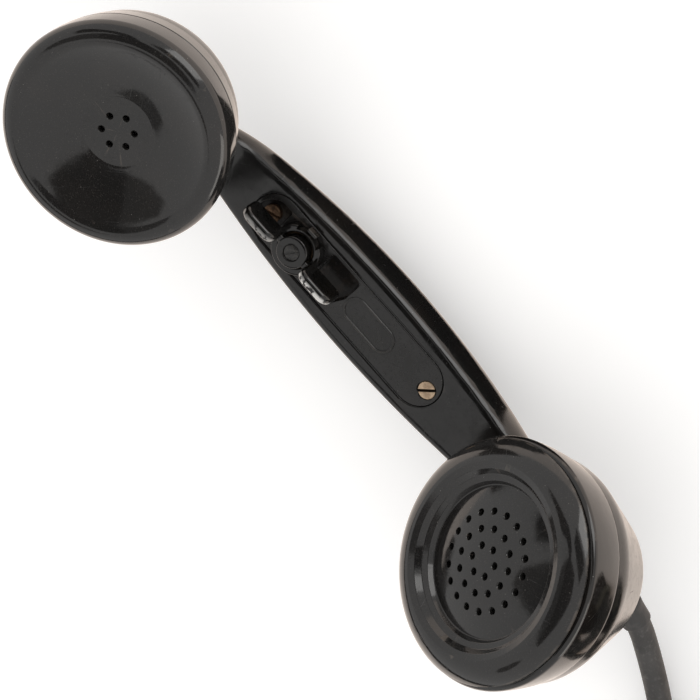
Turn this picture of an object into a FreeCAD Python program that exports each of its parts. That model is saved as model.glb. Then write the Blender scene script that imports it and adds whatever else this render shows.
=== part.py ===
import FreeCAD, Part
import math
import os
import re
import Sketcher
from FreeCAD import Placement, Rotation, Vector

# Handset of a field telephone. It lies on its back on the floor, z = 0. +X runs from the ear end to
# the mouth end, +Z points out of the flat inner face of the grip, and y = 0 is its plane of symmetry.

doc = FreeCAD.newDocument("field_handset")

SIZES = {
    # grip: a flat inner face, rounded crests along it, and an arched back
    "grip_depth": 22.3,
    "grip_width": 27.0,
    "crest_width": 2.6,
    "crest_drop": 5.0,
    "waist_arc": 360.0,
    "waist_reach": 1.5,
    "back_arc": 190.0,
    "back_reach": 6.5,
    "face_ear_inset": 26.4,
    "face_mouth_inset": 19.6,
    "ear_root_length": 31.0,
    "mouth_root_length": 35.0,
    "root_rise": 14.0,
    # ear bowl
    "ear_reach": 78.4,
    "ear_rise": 32.1,
    "ear_tilt": 9.0,
    "ear_bowl_step": 3.4,
    "ear_waist_step": 2.3,
    "ear_foot_inset": 10.7,
    "ear_bowl_depth": 33.0,
    "ear_waist_depth": 18.5,
    "ear_cone_depth": 17.5,
    "ear_shoulder": 12.6,
    "ear_neck_radius": 25.7,
    "ear_capsule_drop": 4.4,
    # mouth bowl
    "mouth_reach": 71.6,
    "mouth_rise": 36.0,
    "mouth_tilt": 31.7,
    "mouth_bowl_step": 4.7,
    "mouth_waist_step": 4.2,
    "mouth_foot_inset": 9.5,
    "mouth_bowl_depth": 45.5,
    "mouth_waist_depth": 21.0,
    "mouth_cone_depth": 25.0,
    "mouth_shoulder": 17.0,
    "mouth_neck_radius": 26.7,
    "mouth_capsule_drop": 8.4,
    # both bowls
    "bowl_wall": 3.0,
    "back_wall": 3.5,
    "bowl_heel": 12.0,
    "bowl_toe": 10.2,
    "bowl_inner_heel": 6.0,
    "neck_wall": 2.3,
    # fits
    "gap": 0.3,
    "seat_gap": 0.15,
    "thin_gap": 0.05,
    # ear cap: central disc, dish and rolled rim
    "ear_cap_wall": 4.4,
    "ear_cap_girth": 1.4,
    "ear_cap_skirt": 5.6,
    "ear_skirt_taper": 0.85,
    "ear_rim_height": 5.3,
    "ear_rim_outer": 28.4,
    "ear_rim_width": 2.4,
    "ear_rim_arc": 4.6,
    "ear_rim_roll": 2.6,
    "ear_dish_arc": 30.0,
    "ear_disc_radius": 10.0,
    "ear_disc_wall": 1.8,
    "ear_ledge": 0.9,
    "ear_ledge_run": 2.3,
    "ear_hole_ring": 4.64,
    "ear_hole_turn": 39.3,
    "sound_hole": 1.8,
    "sleeve_wall": 1.7,
    "sleeve_clear": 1.0,
    # mouth cap: domed grille, two raised steps and a round shoulder
    "mouth_cap_wall": 4.2,
    "mouth_cap_skirt": 3.0,
    "mouth_cap_arc": 8.5,
    "mouth_ledge": 3.4,
    "dome_height": 1.4,
    "dome_arc": 62.0,
    "dome_radius": 20.5,
    "grille_depth": 6.8,
    "dome_wall": 2.8,
    "dome_moat": 1.0,
    "step_radius": 23.2,
    "step_drop": 0.2,
    "step_rake": 0.4,
    "bead_radius": 24.4,
    "bead_height": 1.9,
    "bead_width": 2.0,
    "bead_rake": 0.5,
    "mouth_hole_inner": 4.24,
    "mouth_hole_step": 4.6,
    "mouth_turn_inner": 36.8,
    "mouth_turn_middle": 8.0,
    "mouth_turn_outer": 18.7,
    # collar rings behind the caps
    "collar_gap": 0.25,
    "ear_collar_swell": 0.1,
    "ear_collar_ledge": 0.3,
    "mouth_collar_swell": 1.0,
    "mouth_collar_lip": 2.0,
    "mouth_collar_ledge": 0.1,
    "mouth_collar_arc": 60.0,
    # capsules
    "seal_width": 2.8,
    "flange": 1.2,
    "can_gap": 0.6,
    "can_wall": 1.0,
    "diaphragm": 0.3,
    "ear_can_depth": 15.4,
    "mouth_can_depth": 22.0,
    "magnet_height": 3.6,
    "magnet_radius": 15.0,
    "magnet_bore": 9.5,
    "yoke_height": 1.3,
    "yoke_width": 5.0,
    "coil_reach": 4.4,
    "coil_radius": 3.6,
    "coil_height": 5.0,
    "pole_radius": 1.5,
    "pole_gap": 0.7,
    "carbon_radius": 10.0,
    "carbon_height": 8.0,
    "carbon_wall": 1.4,
    "button_radius": 4.0,
    "button_length": 9.5,
    "terminal_radius": 16.2,
    "mouth_terminal_radius": 20.4,
    "terminal_thick": 2.0,
    "ear_terminal_depth": 22.0,
    "mouth_terminal_depth": 26.5,
    "spring_thick": 0.4,
    "spring_width": 3.0,
    "spring_foot": 5.0,
    "spring_reach": 11.0,
    "spring_pitch": 6.0,
    "spring_lip": 1.0,
    # cover plate let into the grip
    "plate_width": 15.2,
    "plate_thick": 4.0,
    "plate_ear_end": 42.4,
    "plate_mouth_end": 30.6,
    "pocket_depth": 2.2,
    "pocket_edge": 1.1,
    "pocket_round": 2.0,
    "pocket_hub_gap": 0.5,
    "mouth_pocket_length": 11.0,
    "mouth_pocket_slant": 3.0,
    "frame_height": 0.25,
    "frame_length": 18.3,
    "frame_width": 7.9,
    "frame_reach": 3.2,
    "frame_band": 0.7,
    "screw_head": 2.6,
    "screw_head_thick": 1.6,
    "screw_shank": 1.3,
    "screw_length": 5.0,
    "slot_width": 0.8,
    "slot_depth": 0.7,
    "screw_mouth_inset": 3.7,
    # space for the switch under the plate
    "bay_ear_margin": 7.75,
    "bay_mouth_end": 20.0,
    "bay_width": 10.8,
    "bay_depth": 14.0,
    # talk key
    "key_reach": 25.25,
    "key_lift": 0.3,
    "key_ring_radius": 7.3,
    "key_ring_height": 3.2,
    "key_moat_outer": 5.2,
    "key_moat_floor": 1.2,
    "key_disc_radius": 4.4,
    "key_disc_height": 5.6,
    "key_screw_seat": 4.0,
    "key_notch_radius": 6.1,
    "key_notch_angle": 66.0,
    "stop_width": 3.2,
    "stop_height": 2.7,
    "wing_reach": 17.4,
    "wing_root": 5.5,
    "wing_foot": 2.0,
    "wing_height": 10.5,
    "wing_thick": 3.0,
    "wing_round": 3.4,
    "wing_toe": 1.8,
    "wing_edge": 1.1,
    "web_thick": 2.0,
    "web_foot": 2.5,
    "web_height": 5.2,
    "brass_ring_height": 0.65,
    "hub_screw_radius": 2.2,
    "hub_screw_height": 1.5,
    "hub_shank_radius": 0.9,
    "hub_shank_length": 3.4,
    "spindle_radius": 1.8,
    "spindle_end": 8.2,
    "crank_radius": 4.6,
    "crank_thick": 1.4,
    "crank_throw": 3.4,
    "crank_pin": 0.8,
    "return_wire": 0.4,
    "return_radius": 3.0,
    "return_pitch": 0.9,
    "return_turns": 1.8,
    # contacts
    "slide_drop": 0.3,
    "slide_thick": 1.8,
    "slide_width": 8.0,
    "slide_tail": 3.5,
    "slide_length": 22.0,
    "fork_gap": 0.2,
    "block_reach": 8.0,
    "block_length": 12.0,
    "block_height": 3.0,
    "rail_wall": 0.9,
    "rail_gap": 0.25,
    "rail_lip": 0.7,
    "leaf_thick": 0.35,
    "leaf_width": 2.0,
    "leaf_length": 15.0,
    "leaf_pitch": 5.4,
    "leaf_dimple": 0.9,
    "block_screw": 0.8,
    "block_screw_head": 1.4,
    "block_screw_pitch": 6.5,
    "block_screw_grip": 0.8,
    # wiring
    "duct_radius": 1.9,
    "duct_depth": 11.1,
    "duct_overlap": 3.0,
    "duct_bend_reach": 61.0,
    "duct_bend_height": 16.8,
    "ear_duct_reach": 11.5,
    "ear_duct_drop": 26.5,
    "mouth_duct_reach": 12.6,
    "mouth_duct_drop": 39.4,
    "wire_radius": 0.6,
    "wire_pitch": 1.5,
    # cord entry
    "cord_radius": 3.5,
    "cord_inside": 9.0,
    "cord_stub": 16.42,
    "gland_reach": 19.9,
    "gland_drop": 37.8,
    "gland_dip": 28.0,
    "gland_boss": 9.5,
    "gland_boss_height": 12.0,
    "gland_seat_depth": 8.0,
    "gland_radius": 6.2,
    "gland_stem": 5.0,
    "gland_land": 3.5,
    "gland_flange": 7.4,
    "gland_flange_thick": 2.0,
    "gland_tip": 4.4,
    "ferrule_radius": 5.2,
    "ferrule_length": 2.6,
    "core_spread": 1.2,
    "core_landing": 11.0,
    "core_fan": 3.8,
    # cord, put away in a coil, and its plug
    "coil_inner": 24.2,
    "coil_outer": 47.8,
    "tie_width": 8.0,
    "tie_thick": 0.8,
    "tie_slack": 0.2,
    "plug_radius": 13.0,
    "plug_waist": 11.6,
    "plug_length": 26.0,
    "plug_rim": 6.0,
    "plug_nut_radius": 9.0,
    "plug_nut_length": 12.0,
    "plug_pin_radius": 2.0,
    "plug_pin_length": 14.0,
    "plug_pin_root": 6.0,
    "plug_pin_neck": 1.4,
    "plug_pin_lift": 0.6,
    "plug_pin_circle": 7.0,
}

sheet = doc.addObject("Spreadsheet::Sheet", "Sizes")
for row, (alias, number) in enumerate(SIZES.items(), start=1):
    sheet.set("A%d" % row, alias)
    sheet.set("B%d" % row, str(number))
    sheet.setAlias("B%d" % row, alias)
doc.recompute()


def size(alias):
    return float(sheet.get(alias))


def bound(text):
    """The sheet expression that a text such as 'grip_depth - bowl_wall / 2' stands for."""
    return re.sub(r"[a-z][a-z_]+", lambda word: "Sizes." + word.group(0), text)


def value(text):
    """The number that such a text has now. Words and signs are parted by spaces."""
    total = 0.0
    term = 0.0
    sign = 1.0
    dividing = False
    fresh = True
    for word in text.split():
        if word in "+-":
            total += sign * term
            sign = 1.0 if word == "+" else -1.0
            fresh = True
        elif word in "*/":
            dividing = word == "/"
        else:
            number = size(word) if word in SIZES else float(word)
            if fresh:
                term = number
            elif dividing:
                term = term / number
            else:
                term = term * number
            fresh = False
    return total + sign * term


# ---- where each group of pieces stands -------------------------------------------------------------

SEATS = {
    "grip": ("0", "0", "0", Vector(0, 0, 1), "0"),
    "face": ("0", "0", "grip_depth", Vector(0, 0, 1), "0"),
    "key": ("- key_reach", "0", "grip_depth", Vector(0, 0, 1), "0"),
    "ear": ("- ear_reach", "0", "grip_depth + ear_rise", Vector(0, 1, 0), "ear_tilt"),
    "mouth": ("mouth_reach", "0", "grip_depth + mouth_rise", Vector(0, -1, 0), "mouth_tilt"),
    "gland": ("mouth_reach + gland_reach", "0", "grip_depth + mouth_rise - gland_drop",
              Vector(0, 1, 0), "90 + gland_dip"),
}


def seat_placement(seat):
    x, y, z, axis, angle = SEATS[seat]
    return Placement(Vector(value(x), value(y), value(z)), Rotation(axis, value(angle)))


def sit(piece, seat):
    """Binds a piece's place to the seat of its group."""
    x, y, z, axis, angle = SEATS[seat]
    piece.Placement = seat_placement(seat)
    piece.setExpression("Placement.Base.x", bound(x))
    piece.setExpression("Placement.Base.y", bound(y))
    piece.setExpression("Placement.Base.z", bound(z))
    if angle != "0":
        piece.setExpression("Placement.Rotation.Angle", bound(angle))


# ---- sketches and features -------------------------------------------------------------------------

def pin_down(sketch, axis, edge, end, text):
    """Fixes one coordinate of a sketch point to a text's value."""
    if text == "0":
        other = -2 if axis == "X" else -1
        sketch.addConstraint(Sketcher.Constraint("PointOnObject", edge, end, other))
        return
    rule = Sketcher.Constraint("Distance" + axis, -1, 1, edge, end, value(text))
    index = sketch.addConstraint(rule)
    sketch.setExpression("Constraints[%d]" % index, bound(text))


def arc_through(start, end, radius, side):
    """A minor arc; side is 1 where it turns left on its way from start to end, else -1."""
    chord = end - start
    rise = math.sqrt(max(radius ** 2 - chord.Length ** 2 / 4, 0.0))
    centre = (start + end) / 2 + Vector(-chord.y, chord.x, 0).normalize() * rise * side
    first, last = (start, end) if side > 0 else (end, start)
    begin = math.atan2(first.y - centre.y, first.x - centre.x)
    finish = math.atan2(last.y - centre.y, last.x - centre.x)
    if finish < begin:
        finish += 2 * math.pi
    return Part.ArcOfCircle(Part.Circle(centre, Vector(0, 0, 1), radius), begin, finish)


def outline(sketch, corners):
    """A closed loop of corners (x, y). A corner (x, y, radius, side) starts an arc, and a fifth word,
    axis, keeps that arc's centre on the sketch's vertical axis. A y that is a number only starts the
    solver: an arc about the axis settles it."""
    points = []
    for corner in corners:
        height = corner[1] if isinstance(corner[1], float) else value(corner[1])
        points.append(Vector(value(corner[0]), height, 0))
    edges = []
    for number, corner in enumerate(corners):
        start, end = points[number], points[(number + 1) % len(points)]
        if len(corner) > 2:
            radius, side = corner[2], corner[3]
            edge = sketch.addGeometry(arc_through(start, end, value(radius), side))
            index = sketch.addConstraint(Sketcher.Constraint("Radius", edge, value(radius)))
            sketch.setExpression("Constraints[%d]" % index, bound(radius))
            if corner[4:] == ("axis",):
                sketch.addConstraint(Sketcher.Constraint("PointOnObject", edge, 3, -2))
            edges.append((edge, 1, 2) if side > 0 else (edge, 2, 1))
        else:
            edges.append((sketch.addGeometry(Part.LineSegment(start, end)), 1, 2))
    for number, corner in enumerate(corners):
        edge, first, _ = edges[number]
        before, _, last = edges[number - 1]
        sketch.addConstraint(Sketcher.Constraint("Coincident", before, last, edge, first))
        pin_down(sketch, "X", edge, first, corner[0])
        if not isinstance(corner[1], float):
            pin_down(sketch, "Y", edge, first, corner[1])


def ring(sketch, x, y, radius):
    """A circle with its centre and radius bound."""
    centre = Vector(value(x), value(y), 0)
    edge = sketch.addGeometry(Part.Circle(centre, Vector(0, 0, 1), value(radius)))
    pin_down(sketch, "X", edge, 3, x)
    pin_down(sketch, "Y", edge, 3, y)
    index = sketch.addConstraint(Sketcher.Constraint("Radius", edge, value(radius)))
    sketch.setExpression("Constraints[%d]" % index, bound(radius))


def new_body(name, seat):
    body = doc.addObject("PartDesign::Body", name)
    body.Label = name
    sit(body, seat)
    return body


def new_sketch(body, plane, height="0"):
    sketch = body.newObject("Sketcher::SketchObject", body.Label + "_sketch")
    origin_plane = [part for part in body.Origin.OriginFeatures if part.Role == plane][0]
    sketch.AttachmentSupport = [(origin_plane, "")]
    sketch.MapMode = "FlatFace"
    if height != "0":
        sketch.setExpression("AttachmentOffset.Base.z", bound(height))
    return sketch


def turned(body, corners, plane="XZ_Plane"):
    """A revolved solid from a half section, x out from the axis and y along it."""
    sketch = new_sketch(body, plane)
    outline(sketch, corners)
    feature = body.newObject("PartDesign::Revolution", body.Label + "_turned")
    feature.Profile = sketch
    feature.ReferenceAxis = (sketch, ["V_Axis"])
    feature.Angle = 360
    doc.recompute()
    return feature


def padded(body, height, length, corners=None, circles=(), down=False):
    """A pad from a sketch at a height over the body's own XY plane."""
    sketch = new_sketch(body, "XY_Plane", height)
    if corners:
        outline(sketch, corners)
    for circle in circles:
        ring(sketch, *circle)
    feature = body.newObject("PartDesign::Pad", body.Label + "_pad")
    feature.Profile = sketch
    feature.setExpression("Length", bound(length))
    feature.Reversed = down
    doc.recompute()
    return feature


def pocketed(body, height, depth, corners=None, circles=(), turn=None):
    """A pocket that goes down from a sketch at a height. It must take volume away."""
    before = body.Shape.Volume
    sketch = new_sketch(body, "XY_Plane", height)
    if turn:
        sketch.AttachmentOffset = Placement(sketch.AttachmentOffset.Base, Rotation(Vector(0, 0, 1), 1))
        sketch.setExpression("AttachmentOffset.Rotation.Angle", bound(turn))
    if corners:
        outline(sketch, corners)
    for circle in circles:
        ring(sketch, *circle)
    feature = body.newObject("PartDesign::Pocket", body.Label + "_pocket")
    feature.Profile = sketch
    feature.setExpression("Length", bound(depth))
    doc.recompute()
    if body.Shape.Volume > before - 1e-6:
        raise RuntimeError("a pocket of %s cuts nothing" % body.Label)
    return feature


def repeated(body, feature, count):
    """Copies of a feature on a circle round the body's own Z axis."""
    pattern = body.newObject("PartDesign::PolarPattern", body.Label + "_pattern")
    pattern.Originals = [feature]
    z_axis = [part for part in body.Origin.OriginFeatures if part.Role == "Z_Axis"][0]
    pattern.Axis = (z_axis, [""])
    pattern.Angle = 360
    pattern.Occurrences = count
    body.Tip = pattern
    doc.recompute()
    return pattern


def rounded(body, radius, choose):
    """Fillets the edges of the body's last feature that choose picks."""
    shape = body.Tip.Shape
    names = ["Edge%d" % (n + 1) for n, edge in enumerate(shape.Edges) if choose(edge)]
    feature = body.newObject("PartDesign::Fillet", body.Label + "_fillet")
    feature.Base = (body.Tip if body.Tip != feature else feature.BaseFeature, names)
    feature.setExpression("Radius", bound(radius))
    doc.recompute()
    return feature


def solid_piece(name, shape, seat="grip"):
    """A piece whose shape comes straight from Part's own functions, in its group's own frame."""
    piece = doc.addObject("Part::Feature", name)
    piece.Label = name
    piece.Shape = shape.removeSplitter()
    sit(piece, seat)
    return piece


def tube(start, end, radius):
    """A round bar from one point to another."""
    run = end - start
    return Part.makeCylinder(radius, run.Length, start, run)


def block(x_low, x_high, y_low, y_high, z_low, z_high):
    low = Vector(x_low, y_low, z_low)
    return Part.makeBox(x_high - x_low, y_high - y_low, z_high - z_low, low)


# how far a cutter runs on past what it cuts, so that no skin is left
OVERRUN = 20.0


def fused(shapes):
    shapes = list(shapes)
    return shapes[0].fuse(shapes[1:])


# ---- handset moulding: grip and both bowls, one piece of phenolic ----------------------------------
# The grip is lofted through cross sections. Its back is one long arc, which runs on into the backs of
# the bowls, and its width is another, widest a little past the middle.

FACE = size("grip_depth")
CREST_WIDTH = size("crest_width")
CREST_DROP = size("crest_drop")


def back_height(x):
    """Height of the arched back over the floor."""
    arc = size("back_arc")
    return arc - math.sqrt(arc ** 2 - (x - size("back_reach")) ** 2)


def half_width(x):
    """Half of the grip's width."""
    arc = size("waist_arc")
    narrowing = arc - math.sqrt(arc ** 2 - (x - size("waist_reach")) ** 2)
    return size("grip_width") / 2 - narrowing


def section(x, top):
    """One cross section: flat top, elliptical crests and an elliptical back."""
    half = half_width(x)
    bottom = back_height(x)
    drop = min(CREST_DROP, 0.35 * (top - bottom))
    waist = top - drop
    crest = min(CREST_WIDTH, 0.6 * half)
    flat = half - crest
    lower = waist - bottom
    corner = math.sqrt(0.5)

    def at(y, z):
        return Vector(x, y, z)

    def bend(start, middle, end):
        curve = Part.BSplineCurve()
        curve.interpolate([start] + middle + [end])
        return curve.toShape()

    def quarter(y_side):
        angles = [math.radians(step) for step in (0, 22.5, 45, 67.5, 90)]
        return [at(y_side * half * math.cos(a), waist - lower * math.sin(a)) for a in angles]

    right_crest = [at(flat, top), at(flat + crest * corner, waist + drop * corner), at(half, waist)]
    left_crest = [at(-point.y, point.z) for point in reversed(right_crest)]
    right_back = quarter(1)
    left_back = list(reversed(quarter(-1)))
    back = Part.BSplineCurve()
    back.interpolate(right_back + left_back[1:], InitialTangent=Vector(0, 0, -1) * lower,
                     FinalTangent=Vector(0, 0, 1) * lower)
    right = Part.BSplineCurve()
    right.interpolate(right_crest, InitialTangent=Vector(0, crest, 0), FinalTangent=Vector(0, 0, -drop))
    left = Part.BSplineCurve()
    left.interpolate(left_crest, InitialTangent=Vector(0, 0, drop), FinalTangent=Vector(0, crest, 0))
    lid = Part.LineSegment(at(-flat, top), at(flat, top))
    return Part.Wire([lid.toShape(), right.toShape(), back.toShape(), left.toShape()])


# Past its flat length the face sweeps up to the bowls. Each pair is a share of the sweep's length and
# the share of its rise that is reached there.
EAR_SWEEP = [(0, 0), (0.16, 0.057), (0.355, 0.3), (0.613, 0.714), (1, 1)]
MOUTH_SWEEP = [(0, 0), (0.171, 0.014), (0.4, 0.286), (0.686, 0.786), (1, 1)]
FLAT_SECTIONS = 8


def grip_shape():
    ear_end = size("face_ear_inset") - size("ear_reach")
    mouth_end = size("mouth_reach") - size("face_mouth_inset")
    ear_length = size("ear_root_length")
    mouth_length = size("mouth_root_length")
    rise = size("root_rise")
    spacing = (mouth_end - ear_end) / FLAT_SECTIONS
    lofts = [
        [section(ear_end + spacing * step, FACE) for step in range(FLAT_SECTIONS + 1)],
        [section(ear_end - run * ear_length, FACE + share * rise) for run, share in EAR_SWEEP],
        [section(mouth_end + run * mouth_length, FACE + share * rise) for run, share in MOUTH_SWEEP],
    ]
    return fused([Part.makeLoft(sections, True, False) for sections in lofts])


def spun(points):
    """A solid of revolution about Z from (radius, z) points."""
    corners = [Vector(radius, 0, height) for radius, height in points]
    wire = Part.makePolygon(corners + corners[:1])
    return Part.Face(wire).revolve(Vector(0, 0, 0), Vector(0, 0, 1), 360)


def soften(shape, roundings):
    """Rounds the circular edges of a spun solid; roundings gives a radius for each height."""
    for height, radius in roundings:
        picked = []
        for edge in shape.Edges:
            level = abs(edge.BoundBox.ZMax - height) < 0.01 and edge.BoundBox.ZLength < 0.001
            if level and isinstance(edge.Curve, Part.Circle):
                picked.append(edge)
        shape = shape.makeFillet(radius, picked)
    return shape


def bowl_outside(side):
    neck = size(side + "_neck_radius")
    shoulder = -size(side + "_shoulder")
    waist = -size(side + "_waist_depth")
    back = -size(side + "_bowl_depth")
    points = [(0, shoulder), (neck + size(side + "_bowl_step"), shoulder),
              (neck + size(side + "_waist_step"), waist), (neck - size(side + "_foot_inset"), back),
              (0, back)]
    return soften(spun(points), [(waist, size("bowl_heel")), (back, size("bowl_toe"))])


def neck_outside(side):
    radius = size(side + "_neck_radius")
    top = -size(side + "_capsule_drop")
    overlap = -size(side + "_shoulder") - size("neck_wall")
    return spun([(0, overlap), (radius, overlap), (radius, top), (0, top)])


def bowl_inside(side):
    bore = size(side + "_neck_radius") - size("neck_wall")
    cone = -size(side + "_cone_depth")
    back = size("back_wall") - size(side + "_bowl_depth")
    foot = size(side + "_neck_radius") - size(side + "_foot_inset") - size("bowl_wall")
    heel = size("bowl_inner_heel")
    points = [(0, 0), (bore, 0), (bore, cone), (foot, back), (0, back)]
    return soften(spun(points), [(cone, heel), (back, heel)])


def seated(shape, seat):
    """A shape moved from its seat's own frame into the handset's."""
    moved = shape.copy()
    moved.Placement = seat_placement(seat).multiply(moved.Placement)
    return moved


def stadium(low, high, half, bottom, top):
    """A block with round ends, between two heights."""
    bar = block(low + half, high - half, -half, half, bottom, top)
    left = Part.makeCylinder(half, top - bottom, Vector(low + half, 0, bottom))
    right = Part.makeCylinder(half, top - bottom, Vector(high - half, 0, bottom))
    return fused([bar, left, right])


# The ducts run from the switch bay to the bowls: straight to the mouth bowl, with one bend to the ear.
BAY_FLOOR = FACE - size("bay_depth")
DUCT_START = FACE - size("duct_depth")
BAY_EAR_END = -size("key_reach") - size("bay_ear_margin")
EAR_DUCT = [Vector(size("duct_overlap") + BAY_EAR_END, 0, DUCT_START),
            Vector(-size("duct_bend_reach"), 0, size("duct_bend_height")),
            seat_placement("ear").multVec(Vector(size("ear_duct_reach"), 0, -size("ear_duct_drop")))]
MOUTH_END = Vector(-size("mouth_duct_reach"), 0, -size("mouth_duct_drop"))
MOUTH_DUCT = [Vector(size("bay_mouth_end") - size("duct_overlap"), 0, DUCT_START),
              seat_placement("mouth").multVec(MOUTH_END)]


def duct(points, radius, offset=0.0):
    """A bore or wire along points, with balls at its bends."""
    shifted = [point + Vector(0, offset, 0) for point in points]
    runs = [tube(start, end, radius) for start, end in zip(shifted, shifted[1:])]
    balls = [Part.makeSphere(radius, point) for point in shifted[1:-1]]
    return fused(runs + balls)


def bay_shape():
    half = size("bay_width") / 2
    roof = FACE - size("plate_thick") + size("thin_gap")
    return stadium(BAY_EAR_END, size("bay_mouth_end"), half, BAY_FLOOR, roof)


# the ear screw stands midway along the pocket beside the key's hub
EAR_SCREW = "pocket_edge / 2 - plate_ear_end / 2 - key_reach / 2 - key_ring_radius / 2 - pocket_hub_gap / 2"
MOUTH_SCREW = "plate_mouth_end - screw_mouth_inset"


def handset_shape():
    shape = grip_shape()
    for side in ("ear", "mouth"):
        shape = shape.fuse([seated(bowl_outside(side), side), seated(neck_outside(side), side)])
    for side in ("ear", "mouth"):
        shape = shape.cut(seated(bowl_inside(side), side))
    # cord entry: a boss through the back of the mouth bowl, bored, with a flat seat at each end
    land = size("gland_land")
    boss_height = land + size("gland_boss_height")
    boss = Part.makeCylinder(size("gland_boss"), boss_height, Vector(0, 0, -land))
    boss = seated(boss, "gland").common(seated(bowl_outside("mouth"), "mouth"))
    shape = shape.fuse(boss)
    bore = Part.makeCylinder(size("gland_stem") + size("gap"), 2 * OVERRUN, Vector(0, 0, -OVERRUN))
    seat_depth = size("gland_seat_depth")
    inner_seat = Part.makeCylinder(size("gland_flange") + size("gap"), seat_depth,
                                   Vector(0, 0, -land - seat_depth))
    outer_seat = Part.makeCylinder(size("gland_radius") + 2 * size("gap"), OVERRUN)
    shape = shape.cut([seated(cutter, "gland") for cutter in (bore, inner_seat, outer_seat)])
    # recess for the cover plate, the switch bay below it, the ducts and the pilot holes
    fit = size("seat_gap")
    recess = stadium(-size("plate_ear_end") - fit, size("plate_mouth_end") + fit,
                     size("plate_width") / 2 + fit, FACE - size("plate_thick"), FACE + OVERRUN)
    pilot = size("screw_shank")
    flush_end = FACE - size("screw_head_thick") - size("screw_length") - fit
    sunk_end = FACE - size("pocket_depth") - size("screw_length") - fit
    pilots = [
        tube(Vector(value(MOUTH_SCREW), 0, flush_end), Vector(value(MOUTH_SCREW), 0, FACE), pilot),
        tube(Vector(value(EAR_SCREW), 0, sunk_end), Vector(value(EAR_SCREW), 0, FACE), pilot),
    ]
    ducts = [duct(EAR_DUCT, size("duct_radius")), duct(MOUTH_DUCT, size("duct_radius"))]
    return shape.cut([recess, bay_shape()] + pilots + ducts)


handset_body = solid_piece("handset_body", handset_shape())

# ---- ear end: cap, collar, seal and receiver capsule -----------------------------------------------

EAR_RIM = "ear_neck_radius + gap + sleeve_wall + ear_cap_wall"
MOUTH_RIM = "mouth_neck_radius + gap + sleeve_wall + mouth_cap_wall"

ear_cap = new_body("ear_cap", "ear")
turned(ear_cap, [
    ("0", "- ear_disc_wall"),
    ("ear_neck_radius - seal_width - 2 * gap - ear_ledge_run", "- ear_disc_wall"),
    ("ear_neck_radius - seal_width - 2 * gap", "ear_ledge"),
    ("ear_neck_radius + gap", "ear_ledge"),
    ("ear_neck_radius + gap", "- ear_shoulder + sleeve_clear"),
    ("ear_neck_radius + gap + sleeve_wall", "- ear_shoulder + sleeve_clear"),
    ("ear_neck_radius + gap + sleeve_wall", "- ear_cap_skirt"),
    (EAR_RIM + " - ear_skirt_taper", "- ear_cap_skirt"),
    (EAR_RIM, "ear_cap_girth", "ear_rim_arc", 1),
    ("ear_rim_outer", "ear_rim_height", "ear_rim_roll", 1),
    ("ear_rim_outer - ear_rim_width", "ear_rim_height - gap", "ear_dish_arc", -1),
    ("ear_disc_radius", "0"),
    ("0", "0"),
])
hole = pocketed(ear_cap, "gap", "ear_disc_wall + 2 * gap", turn="ear_hole_turn",
                circles=[("ear_hole_ring", "0", "sound_hole / 2")])
repeated(ear_cap, hole, 6)

ear_collar = new_body("ear_collar", "ear")
turned(ear_collar, [
    ("ear_neck_radius + 2 * gap + sleeve_wall", "- ear_shoulder"),
    ("ear_neck_radius + ear_bowl_step + ear_collar_ledge", "- ear_shoulder"),
    (EAR_RIM + " - ear_skirt_taper - ear_collar_swell", "- ear_cap_skirt - collar_gap"),
    ("ear_neck_radius + 2 * gap + sleeve_wall", "- ear_cap_skirt - collar_gap"),
])


def dome_level(height, arc):
    """Height of a dome's edge, from its crown and its radius."""
    return height - arc + math.sqrt(arc ** 2 - size("dome_radius") ** 2)


CROWN = size("dome_height")
DOME_ARC = size("dome_arc")
DOME_WALL = size("dome_wall")
mouth_cap = new_body("mouth_cap", "mouth")
turned(mouth_cap, [
    ("0", "dome_height - dome_wall", "dome_arc - dome_wall", -1, "axis"),
    ("dome_radius", dome_level(CROWN - DOME_WALL, DOME_ARC - DOME_WALL)),
    ("mouth_neck_radius - seal_width - 2 * gap", "- mouth_ledge"),
    ("mouth_neck_radius + gap", "- mouth_ledge"),
    ("mouth_neck_radius + gap", "- mouth_shoulder + sleeve_clear"),
    ("mouth_neck_radius + gap + sleeve_wall", "- mouth_shoulder + sleeve_clear"),
    ("mouth_neck_radius + gap + sleeve_wall", "- mouth_cap_skirt"),
    (MOUTH_RIM, "- mouth_cap_skirt", "mouth_cap_arc", 1),
    ("bead_radius + bead_width", "bead_height"),
    ("bead_radius", "bead_height - bead_rake"),
    ("step_radius", "- step_drop"),
    ("dome_radius + dome_moat", "- step_drop - step_rake"),
    ("dome_radius", dome_level(CROWN, DOME_ARC), "dome_arc", 1, "axis"),
    ("0", "dome_height"),
])
# the grille's holes stand on three rings, each with as many more as the first one has
HOLE_COUNT = 6
for number, turn in enumerate(("mouth_turn_inner", "mouth_turn_middle", "mouth_turn_outer")):
    reach = "mouth_hole_inner + %d * mouth_hole_step" % number
    hole = pocketed(mouth_cap, "dome_height + gap", "grille_depth", turn=turn,
                    circles=[(reach, "0", "sound_hole / 2")])
    repeated(mouth_cap, hole, HOLE_COUNT * (number + 1))

mouth_collar = new_body("mouth_collar", "mouth")
turned(mouth_collar, [
    ("mouth_neck_radius + 2 * gap + sleeve_wall", "- mouth_shoulder"),
    ("mouth_neck_radius + mouth_bowl_step + mouth_collar_ledge", "- mouth_shoulder",
     "mouth_collar_arc", 1),
    (MOUTH_RIM + " + mouth_collar_swell", "- mouth_cap_skirt - mouth_collar_lip"),
    (MOUTH_RIM, "- mouth_cap_skirt - collar_gap"),
    ("mouth_neck_radius + 2 * gap + sleeve_wall", "- mouth_cap_skirt - collar_gap"),
])

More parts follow.
